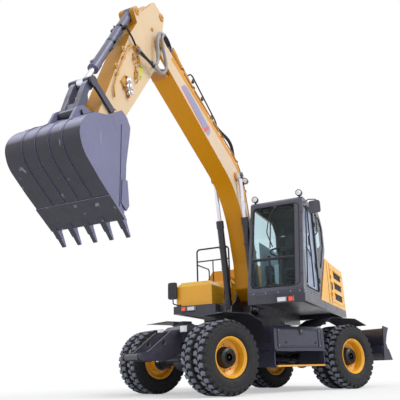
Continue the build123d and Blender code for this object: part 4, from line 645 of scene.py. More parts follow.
def add_tyre(piece, centre, rubber_material):
    """One tyre: a turned carcass with ribs on its shoulders, and two rows of interlocking tread blocks."""
    half = TYRE_HALF
    carcass = TYRE_R - LUG_DEPTH
    section = [
        (RIM_SEAT_R - 0.02, -0.090), (RIM_SEAT_R + 0.002, -0.094), (RIM_SEAT_R + 0.010, -half + 0.030),
        (RIM_SEAT_R + 0.035, -half + 0.012), (0.345, -half + 0.004), (0.372, -half), (0.410, -half + 0.001),
        (0.430, -half + 0.006), (0.434, -half + 0.004), (0.452, -half + 0.008), (0.480, -half + 0.020),
        (carcass, -half + 0.046), (carcass + 0.004, 0.0),
    ]
    section += [(r, -y) for r, y in reversed(section[:-1])]
    count = 2 * LUG_COUNT
    points = [tyre_points(r, y, 2 * math.pi * i / count, centre) for r, y in section for i in range(count)]
    piece.add(points, tube_faces(len(section), count), rubber_material, True)
    pitch = 2 * math.pi / LUG_COUNT
    for side in (-1, 1):
        shift = 0.0 if side < 0 else 0.5
        for i in range(LUG_COUNT):
            low, high = [], []
            for across, around in LUG_OUTLINE:
                y = side * across * (half - 0.010)
                drop = max(0.0, across - 0.72) ** 2 * 0.28
                angle = (i + shift + around) * pitch
                low.append(tyre_points(carcass - 0.012 - drop, y, angle, centre))
                inner = 0.5 + (around - 0.5) * 0.93
                top = (i + shift + inner) * pitch
                high.append(tyre_points(TYRE_R - drop * 0.9, y * 0.985, top, centre))
            piece.prism(low, high, rubber_material)
            # Shoulder bar down the side wall, under each block
            bar_low, bar_high = [], []
            for r, a in ((0.452, 0.30), (0.500, 0.22), (0.500, 0.78), (0.452, 0.70)):
                angle = (i + shift + a) * pitch
                slope = half - 0.012 - (r - 0.452) * 0.25
                bar_low.append(tyre_points(r, side * (slope - 0.02), angle, centre))
                bar_high.append(tyre_points(r, side * (slope + 0.004), angle, centre))
            piece.prism(bar_low, bar_high, rubber_material)


def pair_middle(end, side):
    low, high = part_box(f"tyres_{end}_{side}")
    return (Vector(low) + Vector(high)) / 2


def tyres():
    for end in ("front", "rear"):
        for side in ("left", "right"):
            piece = Piece(f"tread_{end}_{side}")
            for offset in (-DUAL_SPACING / 2, DUAL_SPACING / 2):
                add_tyre(piece, pair_middle(end, side) + Vector((0, offset, 0)), MATERIALS["tyre_rubber"])
            shape = piece.on(f"wheel_{end}_{side}", "tyre_rubber")
            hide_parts(f"tyres_{end}_{side}")


def wheel_details():
    """Nuts, hub cover and valve on the outer rim of each pair."""
    for end in ("front", "rear"):
        for side, sign in (("left", 1), ("right", -1)):
            out = LEFT_FLAT * sign
            outer = pair_middle(end, side) + out * (DUAL_SPACING / 2)
            piece = Piece(f"wheel_nuts_{end}_{side}")
            disc = outer + out * DISC_FACE
            for i in range(NUT_COUNT):
                a = 2 * math.pi * (i + 0.5) / NUT_COUNT
                spot_at = disc + Vector((math.cos(a), 0, math.sin(a))) * NUT_CIRCLE_R
                piece.bolt(spot_at, out, 0.013, MATERIALS["rim_yellow"], 0.020)
            reach = HUB_NOSE - DISC_FACE
            piece.turned(disc, out, [(0.150, 0.001), (0.150, 0.012), (0.134, 0.018), (0.130, reach - 0.006),
                                     (0.122, reach + 0.004), (0.0, reach + 0.005)], HUB_BLACK, 48)
            nose = outer + out * (HUB_NOSE + 0.005)
            for i in range(8):
                a = 2 * math.pi * i / 8
                piece.bolt(nose + Vector((math.cos(a), 0, math.sin(a))) * 0.100, out, 0.006, HUB_BLACK, 0.006)
            piece.bolt(nose, out, 0.012, HUB_BLACK, 0.006)
            stem = disc + Vector((0.17, 0, 0.12))
            piece.pipe([stem, stem + out * 0.03, stem + out * 0.05 + Vector((0.02, 0, 0.012))], 0.005, SEAL, 8)
            piece.on(f"wheel_{end}_{side}", "rim_yellow")


def frame_of(turn, travel):
    """Axes of a hydraulic cylinder: from its barrel's hinge along its rod."""
    return Axes(spot(turn), JOINTS[travel]["axis"], LEFT)


def boom_top(x):
    """Height of the boom's back above its pin line, in metres, where x is metres from the foot pin."""
    peak_x, peak_z, flat = 1.822, 1.270, 0.42
    if x < peak_x - flat:
        return 0.06 + 0.62 * (x + 0.13)
    if x > peak_x + flat:
        return peak_z - (x - peak_x) * 0.402
    share = (x - peak_x + flat) / (2 * flat)
    low, high = 0.06 + 0.62 * (peak_x - flat + 0.13), peak_z - flat * 0.402
    return (1 - share) ** 2 * low + 2 * share * (1 - share) * peak_z + share ** 2 * high


def routed(axes, points, count=40):
    return hose_route([axes.at(*p) for p in points], count)


def hose(piece, axes, points, radius, count=40):
    """Black hose through points of the axes, with its steel ends."""
    route = routed(axes, points, count)
    piece.pipe(route, radius, HOSE, 12)
    fitting(piece, route, radius)


def clamp(piece, axes, centre, half, material=BLACK_PAINT, way=(0, 0, 1)):
    """Saddle clamp over one or two pipes, with its bolt."""
    piece.brick(axes, centre, (0.05, 2 * half, 0.034), material, 0.008)
    piece.bolt(axes.at(centre[0], centre[1], centre[2] + 0.017), axes.way(*way), 0.010, BOLT_STEEL, 0.010)


def joint_hoses():
    """Two hose loops from the boom's tip round the joint to the arm, where they feed the arm's steel pipe."""
    loops = Piece("joint_hoses")
    outer = [(0.668, 0.170, 0.262), (0.684, 0.186, 0.215), (0.606, 0.200, 0.040), (0.515, 0.206, -0.140),
             (0.400, 0.206, -0.262), (0.210, 0.206, -0.262), (0.120, 0.206, -0.105), (0.050, 0.206, 0.000),
             (-0.030, 0.204, 0.086), (-0.150, 0.196, 0.105), (-0.245, 0.180, 0.020), (-0.320, 0.150, -0.110),
             (-0.345, 0.120, -0.230)]
    inner = [(0.640, 0.150, 0.200), (0.625, 0.176, 0.120), (0.575, 0.192, 0.020), (0.500, 0.198, -0.072),
             (0.360, 0.198, -0.090), (0.225, 0.198, 0.025), (0.120, 0.200, 0.110), (0.020, 0.200, 0.160),
             (-0.090, 0.196, 0.150), (-0.190, 0.176, 0.075), (-0.270, 0.140, -0.050), (-0.310, 0.100, -0.190)]
    collar = [(0.018, 0), (0.0245, 0.002), (0.0245, 0.022), (0.018, 0.024)]
    for route_points in (outer, inner):
        route = routed(ARM, route_points, 110)
        dark = max(2, int(len(route) * 0.16))
        loops.pipe(route[:dark + 1], 0.0175, HOSE, 12)
        loops.pipe(route[dark:-dark], 0.0215, GREY_HOSE, 14)
        loops.pipe(route[-dark - 1:], 0.0175, HOSE, 12)
        fitting(loops, route, 0.0175)
        for share in (dark, len(route) - dark - 1):
            way = (route[share + 1] - route[share]).normalized()
            loops.turned(route[share] - way * 0.012, way, collar, BLACK_PAINT, 14)
    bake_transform(loops.build())


def arm_fittings():
    """Pipes, elbows, valve and pin covers on the arm's left side."""
    face = ARM.moved(0, ARM_FACE, 0)
    left = ARM.y
    piece = Piece("arm_fittings")
    through_pins = ((0.0, 0.0, 0.062), (0.148, 0.566, 0.052), (-0.493, 0.230, 0.056))
    # Pin covers and their keeper plates
    for x, z, radius in through_pins + ((0.93, 0.385, 0.034), (1.262, 0.318, 0.034), (-0.045, 0.235, 0.026)):
        piece.cap(face.at(x, 0, z), left, radius, 0.016, PIPE_PAINT)
        piece.bolt(face.at(x, 0.016, z), left, radius * 0.22, BOLT_STEEL, 0.006)
    # Pipe along the arm's upper edge with its brackets
    edge = [(0.640, 0.020, 0.215), (0.700, 0.026, 0.330), (0.860, 0.026, 0.345), (1.120, 0.026, 0.300),
            (1.420, 0.026, 0.235), (1.560, 0.026, 0.190), (1.640, 0.020, 0.100)]
    piece.bent(face, edge, 0.05, 0.011, PIPE_PAINT)
    for x, z in ((0.78, 0.338), (1.05, 0.312), (1.36, 0.248)):
        clamp(piece, face, (x, 0.018, z), 0.018, PIPE_PAINT, (0, 1, 0))
    # Elbows that the loops end in, and short pipes towards the bucket cylinder
    for x, z in ((0.655, 0.270), (0.630, 0.205)):
        piece.brick(face, (x, 0.024, z), (0.07, 0.05, 0.05), PIPE_PAINT, 0.012)
        piece.bolt(face.at(x, 0.049, z), left, 0.012, BOLT_STEEL, 0.01)
    rise = [(0.655, 0.034, 0.290), (0.662, 0.040, 0.400), (0.656, 0.030, 0.525), (0.640, 0.000, 0.560)]
    piece.bent(face, rise, 0.06, 0.0125, HOSE)
    for x, z, tilt in ((0.735, 0.120, 0.02), (0.812, 0.195, -0.01), (0.905, 0.060, 0.03), (0.985, 0.020, 0.0)):
        bend = [(x - 0.05, 0.014, z + 0.05), (x, 0.020, z), (x + 0.015, 0.044, z - 0.03 + tilt),
                (x + 0.06, 0.020, z - 0.055)]
        piece.bent(face, bend, 0.02, 0.010, PIPE_PAINT)
        piece.brick(face, (x, 0.014, z), (0.05, 0.028, 0.034), PIPE_PAINT, 0.006)
        piece.bolt(face.at(x, 0.028, z), left, 0.010, BOLT_STEEL, 0.010)
    # Hose burst valve in pale metal, on its plate
    piece.brick(face, (1.262, 0.010, 0.055), (0.15, 0.02, 0.20), PIPE_PAINT)
    for x, z, size in ((1.235, 0.085, 0.038), (1.285, 0.030, 0.044), (1.330, -0.025, 0.034)):
        profile = [(0, 0), (size, 0), (size, 0.030), (size * 0.72, 0.036), (size * 0.72, 0.058),
                   (size * 0.5, 0.064), (0, 0.064)]
        piece.turned(face.at(x, 0.018, z), left, profile, PALE_METAL, 18, False)
    for x, z in ((1.205, 0.130), (1.350, 0.070), (1.375, -0.045), (1.245, -0.030)):
        piece.bolt(face.at(x, 0.018, z), left, 0.014, RUST, 0.022)
    # Grease hose clip plate
    clip = [(0.70, 0.060), (0.80, 0.035), (0.90, -0.035), (0.86, -0.075), (0.76, -0.030), (0.68, 0.015)]
    piece.plate(face, clip, -0.001, 0.006, TAG)
    for x, z in ((0.73, 0.035), (0.85, -0.04)):
        piece.bolt(face.at(x, 0.006, z), left, 0.009, BOLT_STEEL, 0.008)
    # The far side's pin covers
    right = ARM.moved(0, -ARM_FACE, 0)
    for x, z, radius in through_pins:
        piece.cap(right.at(x, 0, z), -left, radius, 0.016, PIPE_PAINT)
    piece.on("arm")


def boom_stripes():
    """Plain stripe on each side of the boom with its red lower edge, and a band along the upper edge."""
    piece = Piece("boom_stripes")
    band = [(3.925, 0.152), (3.915, 0.250), (3.880, 0.305), (3.830, 0.338), (3.095, 0.568), (3.135, 0.352)]
    patch = [(3.135, 0.352), (3.095, 0.568), (3.035, 0.590), (3.070, 0.372)]
    tail = [(3.070, 0.372), (3.035, 0.590), (2.990, 0.572), (2.962, 0.490), (2.985, 0.402)]
    edge = [(3.935, 0.128), (3.925, 0.152), (3.070, 0.372), (3.064, 0.350)]
    for outline, material in ((band, STRIPE_BLUE), (edge, STRIPE_RED), (patch, STRIPE_RED), (tail, STRIPE_BLUE)):
        piece.plate(BOOM, outline, BOOM_FACE, BOOM_FACE + 0.0014, material)
        piece.plate(BOOM, outline, -BOOM_FACE - 0.0014, -BOOM_FACE, material)
    band_start, band_count, band_step, band_low, band_high = 1.35, 24, 0.125, 0.1596, 0.1606
    for i in range(band_count):
        x0, x1 = band_start + band_step * i, band_start + band_step * (i + 1)
        top = [(x0, boom_top(x0) - 0.100), (x1, boom_top(x1) - 0.100), (x1, boom_top(x1) - 0.006),
               (x0, boom_top(x0) - 0.006)]
        piece.plate(BOOM, top, band_low, band_high, FLANGE)
        piece.plate(BOOM, top, -band_high, -band_low, FLANGE)
    piece.on("boom")


def boom_pipes():
    """Steel pipes along the boom's back in their clamps, the work lamp's housing and the pin ends."""
    piece = Piece("boom_pipes")
    steps = 36
    for y, rise, start, end, radius in ((0.142, 0.080, 0.30, 4.05, 0.0120), (0.100, 0.080, 0.34, 3.98, 0.0120),
                                        (-0.142, 0.050, 0.30, 3.9, 0.0100)):
        line = [BOOM.at(start - 0.05, y, boom_top(start) + 0.004)]
        for i in range(steps + 1):
            x = start + (end - start) * i / steps
            line.append(BOOM.at(x, y, boom_top(x) + rise))
        line.append(BOOM.at(end + 0.05, y, boom_top(end) - 0.01))
        piece.pipe(line, radius, PIPE_PAINT, 10)
    for x in (0.55, 1.05, 1.50, 2.02, 2.62, 3.05, 3.70, 4.05):
        along = BOOM.at(x + 0.05, 0, boom_top(x + 0.05)) - BOOM.at(x - 0.05, 0, boom_top(x - 0.05))
        slope = Axes(BOOM.at(x, 0.121, boom_top(x)), along, LEFT)
        piece.brick(slope, (0, 0, 0.032), (0.05, 0.07, 0.068), PIPE_PAINT)
        clamp(piece, slope, (0, 0, 0.082), 0.040)
        other = slope.moved(0, -0.263, 0)
        piece.brick(other, (0, 0, 0.022), (0.04, 0.03, 0.050), PIPE_PAINT)
    left = BOOM.y
    # Work lamp: black housing and its bracket, lens forward
    lamp = BOOM.at(1.65, 0.205, 1.16)
    ahead = (BOOM.x * 0.72 - BOOM.z * 0.69).normalized()
    housing = [(0, 0), (0.034, 0.004), (0.052, 0.030), (0.055, 0.088), (0.058, 0.092), (0.058, 0.104),
               (0.050, 0.104), (0.048, 0.096)]
    piece.turned(lamp - ahead * 0.05, ahead, housing, BLACK_PAINT, 24)
    piece.turned(lamp - ahead * 0.05, ahead, [(0.0485, 0.097), (0.03, 0.102), (0, 0.104)], LAMP_LENS, 24)
    piece.brick(BOOM, (1.65, 0.178, 1.125), (0.046, 0.040, 0.056), BLACK_PAINT)
    # Pin ends with their keeper plates on both sides
    pins = ((0.0, 0.0, 0.075, 0.200, CHASSIS), (1.92, 0.905, 0.060, 0.2715, BLACK_PAINT),
            (4.597, 0.0, 0.062, 0.174, PIPE_PAINT))
    for sign in (-1, 1):
        for x, z, radius, y, tone in pins:
            piece.cap(BOOM.at(x, sign * y, z), left * sign, radius, 0.016, tone)
            piece.bolt(BOOM.at(x, sign * (y + 0.016), z), left * sign, 0.012, BOLT_STEEL, 0.008)
    # Round nose of the belly between the tip's ears, in a darker orange as painted shade
    rim = []
    for i in range(13):
        a = -math.pi / 2 + math.pi * i / 12
        rim.append((4.175 + 0.115 * math.cos(a), 0.115 * math.sin(a)))
    piece.prism([BOOM.at(x, y, -0.112) for x, y in rim], [BOOM.at(x, y, 0.02) for x, y in rim], SHADED_BELLY)
    piece.on("boom")


def boom_hoses():
    """Hoses over the arm cylinder's foot."""
    piece = Piece("boom_back_hoses")
    outer = [(2.95, 0.070, 1.035), (2.82, 0.078, 1.10), (2.66, 0.090, 1.19), (2.50, 0.098, 1.335),
             (2.34, 0.104, 1.41), (2.20, 0.104, 1.385), (2.10, 0.102, 1.30), (2.02, 0.100, 1.27)]
    inner = [(2.95, 0.040, 1.060), (2.80, 0.045, 1.13), (2.62, 0.055, 1.235), (2.46, 0.060, 1.38),
             (2.30, 0.064, 1.45), (2.14, 0.064, 1.40), (2.04, 0.062, 1.31), (1.96, 0.060, 1.265)]
    for points in (outer, inner):
        hose(piece, BOOM, points, 0.016, 60)
    piece.on("boom")


def cylinder_dress():
    """Feed pipes, clamps and glands on the arm's and the bucket's cylinder."""
    feed = frame_of("arm_barrel_turn", "arm_rod_travel")
    piece = Piece("arm_cylinder_pipe")
    piece.bent(feed, [(0.42, 0.052, 0.020), (0.44, 0.074, 0.105), (0.52, 0.078, 0.118), (1.45, 0.078, 0.118),
                      (1.51, 0.07, 0.10), (1.53, 0.045, 0.045)], 0.05, 0.012, BLACK_PAINT)
    for x in (0.62, 1.02, 1.38):
        piece.brick(feed, (x, 0.062, 0.090), (0.035, 0.036, 0.070), BLACK_PAINT)
    piece.on("arm_barrel")

    cyl = frame_of("bucket_barrel_turn", "bucket_rod_travel")
    piece = Piece("bucket_cylinder_dress")
    for x, width in ((0.40, 0.055), (0.78, 0.040)):
        piece.turned(cyl.at(x, 0, 0), cyl.x, [(0.054, 0), (0.0585, 0), (0.0585, width), (0.054, width)],
                     BLACK_PAINT, 28, False)
    for sign in (-1, 1):
        piece.brick(cyl, (0.43, sign * 0.082, 0.0), (0.07, 0.05, 0.05), BLACK_PAINT, 0.01)
        piece.bolt(cyl.at(0.43, sign * 0.107, 0), cyl.y * sign, 0.016, BLACK_PAINT, 0.02)
        piece.bolt(cyl.at(0.43, sign * 0.05, 0.03), cyl.z, 0.010, BLACK_PAINT, 0.03)
    tube = [(0.46, 0.086, -0.010), (0.52, 0.080, -0.020), (0.92, 0.078, -0.022), (0.99, 0.060, -0.020)]
    piece.bent(cyl, tube, 0.04, 0.010, BLACK_PAINT)
    piece.brick(cyl, (0.78, 0.068, -0.016), (0.03, 0.03, 0.04), BLACK_PAINT)
    piece.on("bucket_barrel")


def corner_lamps():
    """Frames, ambers and ribs of the lamps in the deck's front corners."""
    piece = Piece("corner_lamps")
    for x, z, pairs in ((0.843, 1.385, ((-1.0800, -0.985, AMBER), (-0.965, -0.810, LAMP_LENS))),
                        (1.289, 1.355, ((0.802, 0.955, LAMP_LENS), (0.980, 1.065, AMBER)))):
        for low, high, tone in pairs:
            middle, half = (low + high) / 2, (high - low) / 2
            piece.brick(UPPER, (x + 0.003, middle, z), (0.006, 2 * half - 0.014, 0.064), tone)
            for edge in (-1, 1):
                piece.brick(UPPER, (x + 0.005, middle, z + edge * 0.037), (0.010, 2 * half, 0.010), BLACK_PAINT)
                end = middle + edge * (half - 0.004)
                piece.brick(UPPER, (x + 0.005, end, z), (0.010, 0.008, 0.084), BLACK_PAINT)
    piece.on("upper")


def ring_plate(piece, axes, half_u, half_v, width, corner, low, high, material, centre=(0, 0)):
    """Flat frame with rounded corners, lying on the x-y plane of the axes."""
    def loop(grow, z):
        points = []
        for su, sv, start in ((1, 1, 0), (-1, 1, 90), (-1, -1, 180), (1, -1, 270)):
            for i in range(7):
                a = math.radians(start + 15 * i)
                points.append(axes.at(centre[0] + su * (half_u - corner) + math.cos(a) * (corner + grow),
                                      centre[1] + sv * (half_v - corner) + math.sin(a) * (corner + grow), z))
        return points

    rings = [loop(-width, low), loop(-width, high), loop(0, high), loop(0, low)]
    n = len(rings[0])
    points = [p for ring in rings for p in ring]
    faces = [[k * n + i, k * n + (i + 1) % n, ((k + 1) % 4) * n + (i + 1) % n, ((k + 1) % 4) * n + i]
             for k in range(4) for i in range(n)]
    piece.add(points, faces, material)


def windscreen_trim():
    """Gasket, wiper, post cover and bolts of the windscreen."""
    screen = Axes(UPPER.at(1.250, 0.773, 1.500), UPPER.way(-0.4, 0, 1.55), -LEFT)
    piece = Piece("windscreen_trim")
    ring_plate(piece, screen, 0.735, 0.405, 0.016, 0.075, -0.001, 0.007, SEAL, (0.800, 0.0))
    # Cover of the left post, over the edge of the glass
    low = [screen.at(u, v, 0.0005) for u, v in ((0.02, -0.452), (1.56, -0.452), (1.56, -0.318), (0.02, -0.318))]
    piece.prism(low, [p + screen.z * 0.0045 for p in low], MATERIALS["cab_grey"])
    piece.bar(screen, (0.10, -0.318, 0.004), (1.50, -0.318, 0.004), 0.008, SEAL)
    # Wiper with its arm
    piece.bent(screen, [(1.49, 0.02, 0.02), (1.30, 0.11, 0.03), (1.02, 0.145, 0.028), (0.75, 0.04, 0.022)],
               0.2, 0.009, SEAL, 8)
    piece.brick(screen, (1.05, 0.085, 0.016), (0.62, 0.016, 0.014), SEAL)
    piece.cap(screen.at(1.50, 0.02, 0.001), screen.z, 0.03, 0.02, BLACK_PAINT)
    for u in (0.25, 0.62, 0.98, 1.34):
        for v in (-0.435, 0.432):
            piece.bolt(screen.at(u, v, 0.005 if v < 0 else 0.0), screen.z, 0.010, BLACK_PAINT, 0.008)
    # Dark window bar across the lower pane's top
    piece.brick(screen, (0.545, 0.03, 0.004), (0.030, 0.70, 0.008), SEAL)
    piece.on("upper")


def cab_shade_lining():
    """Near-black sheets on the walls, floor and roof as painted shade, pale sheets as a painted reflection, and
    monitor and pedals inside the cab.
    """
    inside = Piece("cab_shade_lining")
    inside.brick(UPPER, (0.10, 0.378, 2.00), (1.20, 0.004, 0.86), PAINTED_REFLECTION)
    inside.brick(UPPER, (0.62, 0.66, 1.78), (0.10, 0.10, 0.50), PAINTED_REFLECTION, 0.03)
    for low, high in (((-0.50, 0.372, 1.494), (1.16, 1.172, 1.500)),
                      ((0.10, 1.166, 1.50), (1.12, 1.172, 1.98)),
                      ((-0.50, 0.374, 1.50), (-0.494, 1.172, 2.42)),
                      ((-0.30, 0.374, 3.040), (0.74, 1.172, 3.046)),
                      ((-0.40, 1.160, 1.50), (0.12, 1.170, 2.05))):
        middle = [(p + q) / 2 for p, q in zip(low, high)]
        inside.brick(UPPER, middle, [q - p for p, q in zip(low, high)], SHADE_LINING)
    # Monitor, blind and controls seen through the screen
    inside.brick(UPPER, (0.93, 1.02, 2.30), (0.05, 0.20, 0.26), SHADE_LINING, 0.01)
    inside.bar(UPPER, (0.93, 1.02, 2.18), (0.98, 1.05, 1.60), 0.016, SHADE_LINING)
    inside.brick(UPPER, (0.60, 0.773, 3.00), (0.10, 0.62, 0.07), SHADE_LINING, 0.02)
    inside.brick(UPPER, (1.02, 0.90, 1.62), (0.16, 0.16, 0.03), SEAL)
    inside.brick(UPPER, (1.02, 0.66, 1.62), (0.16, 0.16, 0.03), SEAL)
    for y in (0.66, 0.90):
        inside.bar(UPPER, (1.04, y, 1.62), (1.00, y, 1.90), 0.012, BLACK_PAINT)
    inside.on("upper")


def door_trim():
    """Seals, latch, handle and rail on the cab's door, and the glass of its mirror."""
    door = Piece("door_trim")
    side = UPPER.moved(0, DOOR_FACE, 0)
    outline = [(0.985, 1.56), (0.985, 1.62), (0.64, 2.985), (0.20, 2.985), (0.20, 1.56)]
    ring = [side.at(x, 0.003, z) for x, z in outline]
    door.pipe(rounded_route(ring + [ring[0], ring[1]], 0.07)[1:-1], 0.010, SEAL, 8)
    door.bar(side, (0.565, 0.004, 1.60), (0.565, 0.004, 2.95), 0.011, SEAL)
    door.bent(side, [(0.90, 0.004, 2.20), (0.74, 0.010, 2.17), (0.57, 0.004, 2.08)], 0.1, 0.009, SEAL, 8)
    door.brick(side, (0.66, 0.016, 2.36), (0.036, 0.030, 0.17), BLACK_PAINT, 0.008)
    door.brick(side, (0.235, 0.010, 2.02), (0.06, 0.020, 0.10), BLACK_PAINT, 0.008)
    door.cap(side.at(0.235, 0.020, 2.02), side.y, 0.018, 0.008, BOLT_STEEL)
    door.bent(side, [(0.18, 0.000, 2.55), (0.18, 0.055, 2.60), (0.16, 0.055, 2.95), (0.16, 0.000, 3.0)],
              0.05, 0.010, BLACK_PAINT, 8)
    mirror = Axes(UPPER.at(0.6195, 1.381, 2.935), UPPER.y, UPPER.z * -1)
    ring_plate(door, mirror, 0.088, 0.098, 0.10, 0.03, 0.0, 0.002, MIRROR)
    door.on("cab_door")


def skirt_bolts():
    """Bolts along the cab's lower edge."""
    low_trim = Piece("cab_skirt_bolts")
    for i in range(9):
        low_trim.bolt(UPPER.at(1.20 - i * 0.20, 1.2265, 1.478), LEFT, 0.010, BOLT_STEEL, 0.008)
    for y in (0.42, 0.62, 0.82, 1.02, 1.16):
        low_trim.bolt(UPPER.at(1.2505, y, 1.472), UPPER.x, 0.010, BOLT_STEEL, 0.008)
    low_trim.on("upper")


def hood_trim():
    """Dark mesh behind the vents of the service doors, their latches and the seams of the hood."""
    for sign, body in ((1, "left_service_door"), (-1, "right_service_door")):
        piece = Piece(f"{body}_mesh")
        wall = UPPER.moved(0, sign * HOOD_FACE, 0)
        for floor in (1.570, 1.775, 1.980):
            piece.brick(wall, (-1.40, sign * 0.0015, floor + 0.056), (0.625, 0.003, 0.104), MESH_DARK)
            # Slats in the near-black used for painted shade inside the cab.
            for i in range(4):
                z = floor + 0.018 + 0.025 * i
                piece.brick(wall, (-1.40, sign * 0.005, z), (0.615, 0.006, 0.009), SHADE_LINING)
        piece.brick(wall, (-0.845, sign * 0.004, 1.80), (0.050, 0.008, 0.150), BLACK_PAINT)
        piece.brick(wall, (-0.845, sign * 0.010, 1.80), (0.020, 0.008, 0.110), SEAL)
        for x in (-0.80, -1.86):
            for z in (1.55, 2.09):
                piece.bolt(wall.at(x, sign * 0.001, z), LEFT * sign, 0.009, BOLT_STEEL, 0.006)
        piece.on(body)
    seam = Piece("hood_seams")
    wall = UPPER.moved(0, 1.2402, 0)
    for x, top in ((-0.735, 2.22), (-0.52, 2.20)):
        seam.bar(wall, (x, 0.001, 1.46), (x, 0.001, top), 0.0035, SEAL, 6)
    seam.on("upper")


def side_box_trim():
    """Latch, holes and seams of the step boxes, and the yellow edges of their steps."""
    piece = Piece("step_box_trim")
    for sign in (-1, 1):
        wall = UNDER.moved(0, sign * BOX_FACE, 0)
        corners = ((-0.36, 0.66), (0.62, 0.66), (0.62, 0.955), (-0.36, 0.955))
        for (x0, z0), (x1, z1) in zip(corners, corners[1:] + corners[:1]):
            piece.bar(wall, (x0, 0.0, z0), (x1, 0.0, z1), 0.004, SEAL, 6)
        piece.brick(wall, (0.10, sign * 0.006, 0.90), (0.07, 0.014, 0.085), BLACK_PAINT)
        piece.cap(wall.at(0.10, sign * 0.013, 0.915), LEFT_FLAT * sign, 0.016, 0.008, BOLT_STEEL)
        for x in (-0.22, 0.44):
            piece.cap(wall.at(x, 0.0, 0.735), LEFT_FLAT * sign, 0.022, 0.003, SEAL)
        for x, z in ((-0.33, 0.69), (-0.33, 0.92), (0.59, 0.69), (0.59, 0.92)):
            piece.bolt(wall.at(x, 0.0, z), LEFT_FLAT * sign, 0.011, BOLT_STEEL, 0.008)
        piece.brick(UNDER, (0.13, sign * 1.151, 0.390), (1.06, 0.006, 0.024), STEP_YELLOW)
    piece.on("undercarriage")


def boom_foot_hoses():
    """Hoses and steel tubes between the boom's foot and the turntable."""
    piece = Piece("boom_foot_hoses")
    for y, sag, start in ((0.321, 0.00, 0.30), (0.337, 0.06, 0.34), (0.353, 0.12, 0.38), (-0.321, 0.00, 0.30),
                          (-0.340, 0.07, 0.36)):
        hose(piece, UPPER, [(start + 0.28, y, 1.46), (start + 0.30, y, 1.62), (start + 0.20, y, 1.88 - sag),
                            (start + 0.00, y, 1.98 - sag), (start - 0.16, y, 1.90 - sag)], 0.0075)
    nipple = [(0.009, 0), (0.011, 0.004), (0.011, 0.026), (0.008, 0.030), (0.008, 0.045)]
    for y in (0.321, 0.345):
        piece.turned(UPPER.at(0.60, y, 1.452), UPPER.z, nipple, BOLT_STEEL, 6, False)
    piece.on("upper")


def boom_cylinder_dress():
    """Glands, feed pipes and clamps on the two boom cylinders."""
    cyl = frame_of("boom_barrel_turn", "boom_rod_travel")
    piece = Piece("boom_cylinder_dress")
    for sign in (-1, 1):
        line = cyl.moved(0, sign * 0.234, 0)
        for x, radius, width in ((1.085, 0.070, 0.05), (0.72, 0.064, 0.035), (0.36, 0.064, 0.035)):
            profile = [(0.056, 0), (radius, 0.003), (radius, width - 0.003), (0.056, width)]
            piece.turned(line.at(x, 0, 0), line.x, profile, BLACK_PAINT, 28, False)
        piece.bent(line, [(0.22, 0.0, 0.052), (0.24, 0.0, 0.088), (1.06, 0.0, 0.088), (1.09, 0.0, 0.060)],
                   0.03, 0.011, BLACK_PAINT)
        for x in (0.38, 0.74):
            piece.brick(line, (x, 0, 0.078), (0.03, 0.036, 0.040), BLACK_PAINT)
    piece.on("boom_barrels")


def roof_lamps():
    """Bezels and reflectors of the round lamps on the cab's roof."""
    piece = Piece("lamp_bezels")
    bezel = [(0, -0.004), (0.044, 0.0), (0.056, 0.016), (0.056, 0.074), (0.053, 0.076), (0.046, 0.072)]
    for y in (0.380, 1.166):
        foot = UPPER.at(0.725, y, 3.178)
        piece.turned(foot, UPPER.x, bezel, BLACK_PAINT, 28)
        piece.turned(foot, UPPER.x, [(0.047, 0.0705), (0.040, 0.0745), (0.022, 0.0765), (0, 0.077)], LAMP_LENS, 24)
        piece.bar(UPPER, (0.76, y, 3.104), (0.76, y, 3.135), 0.0165, BLACK_PAINT, 12)
    piece.on("upper")


def cushion(name, axes, size, grooves, crown=0.10):
    """Stuffed pad: rounded box whose sides pull in between its corners, with sewn channels across its top."""
    hx, hy, hz = (v / 2 for v in size)
    cells = 26
    work = bmesh.new()
    bmesh.ops.create_cube(work, size=2.0)
    bmesh.ops.subdivide_edges(work, edges=work.edges[:], cuts=cells, use_grid_fill=True)
    for v in work.verts:
        x, y, z = v.co
        top = max(abs(x), abs(y), abs(z))
        norm = (abs(x) ** 6 + abs(y) ** 6 + abs(z) ** 4) ** (1 / 5.2)
        x, y, z = (c * top / max(norm, 1e-6) for c in (x, y, z))
        pull = 1 - 0.035 * (1 - min(1, y * y))
        bulge = 1 + crown * (1 - min(1, x * x)) * (1 - min(1, y * y)) - crown
        dip = sum(0.10 * math.exp(-((x - g) / 0.035) ** 2) for g in grooves) if z > 0 else 0.0
        side = 0.07 * math.exp(-((abs(y) - 0.62) / 0.04) ** 2) if z > 0 and grooves else 0.0
        v.co = axes.at(x * hx * pull, y * hy * (1 - 0.03 * (1 - min(1, x * x))), z * hz * (bulge - dip - side))
    mesh = bpy.data.meshes.new(name)
    work.to_mesh(mesh)
    work.free()
    mesh.polygons.foreach_set("use_smooth", [True] * len(mesh.polygons))
    mesh.materials.append(MATERIALS["seat_fabric"])
    pad = bpy.data.objects.new(name, mesh)
    bpy.context.scene.collection.objects.link(pad)
    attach(pad, "upper")
    return pad


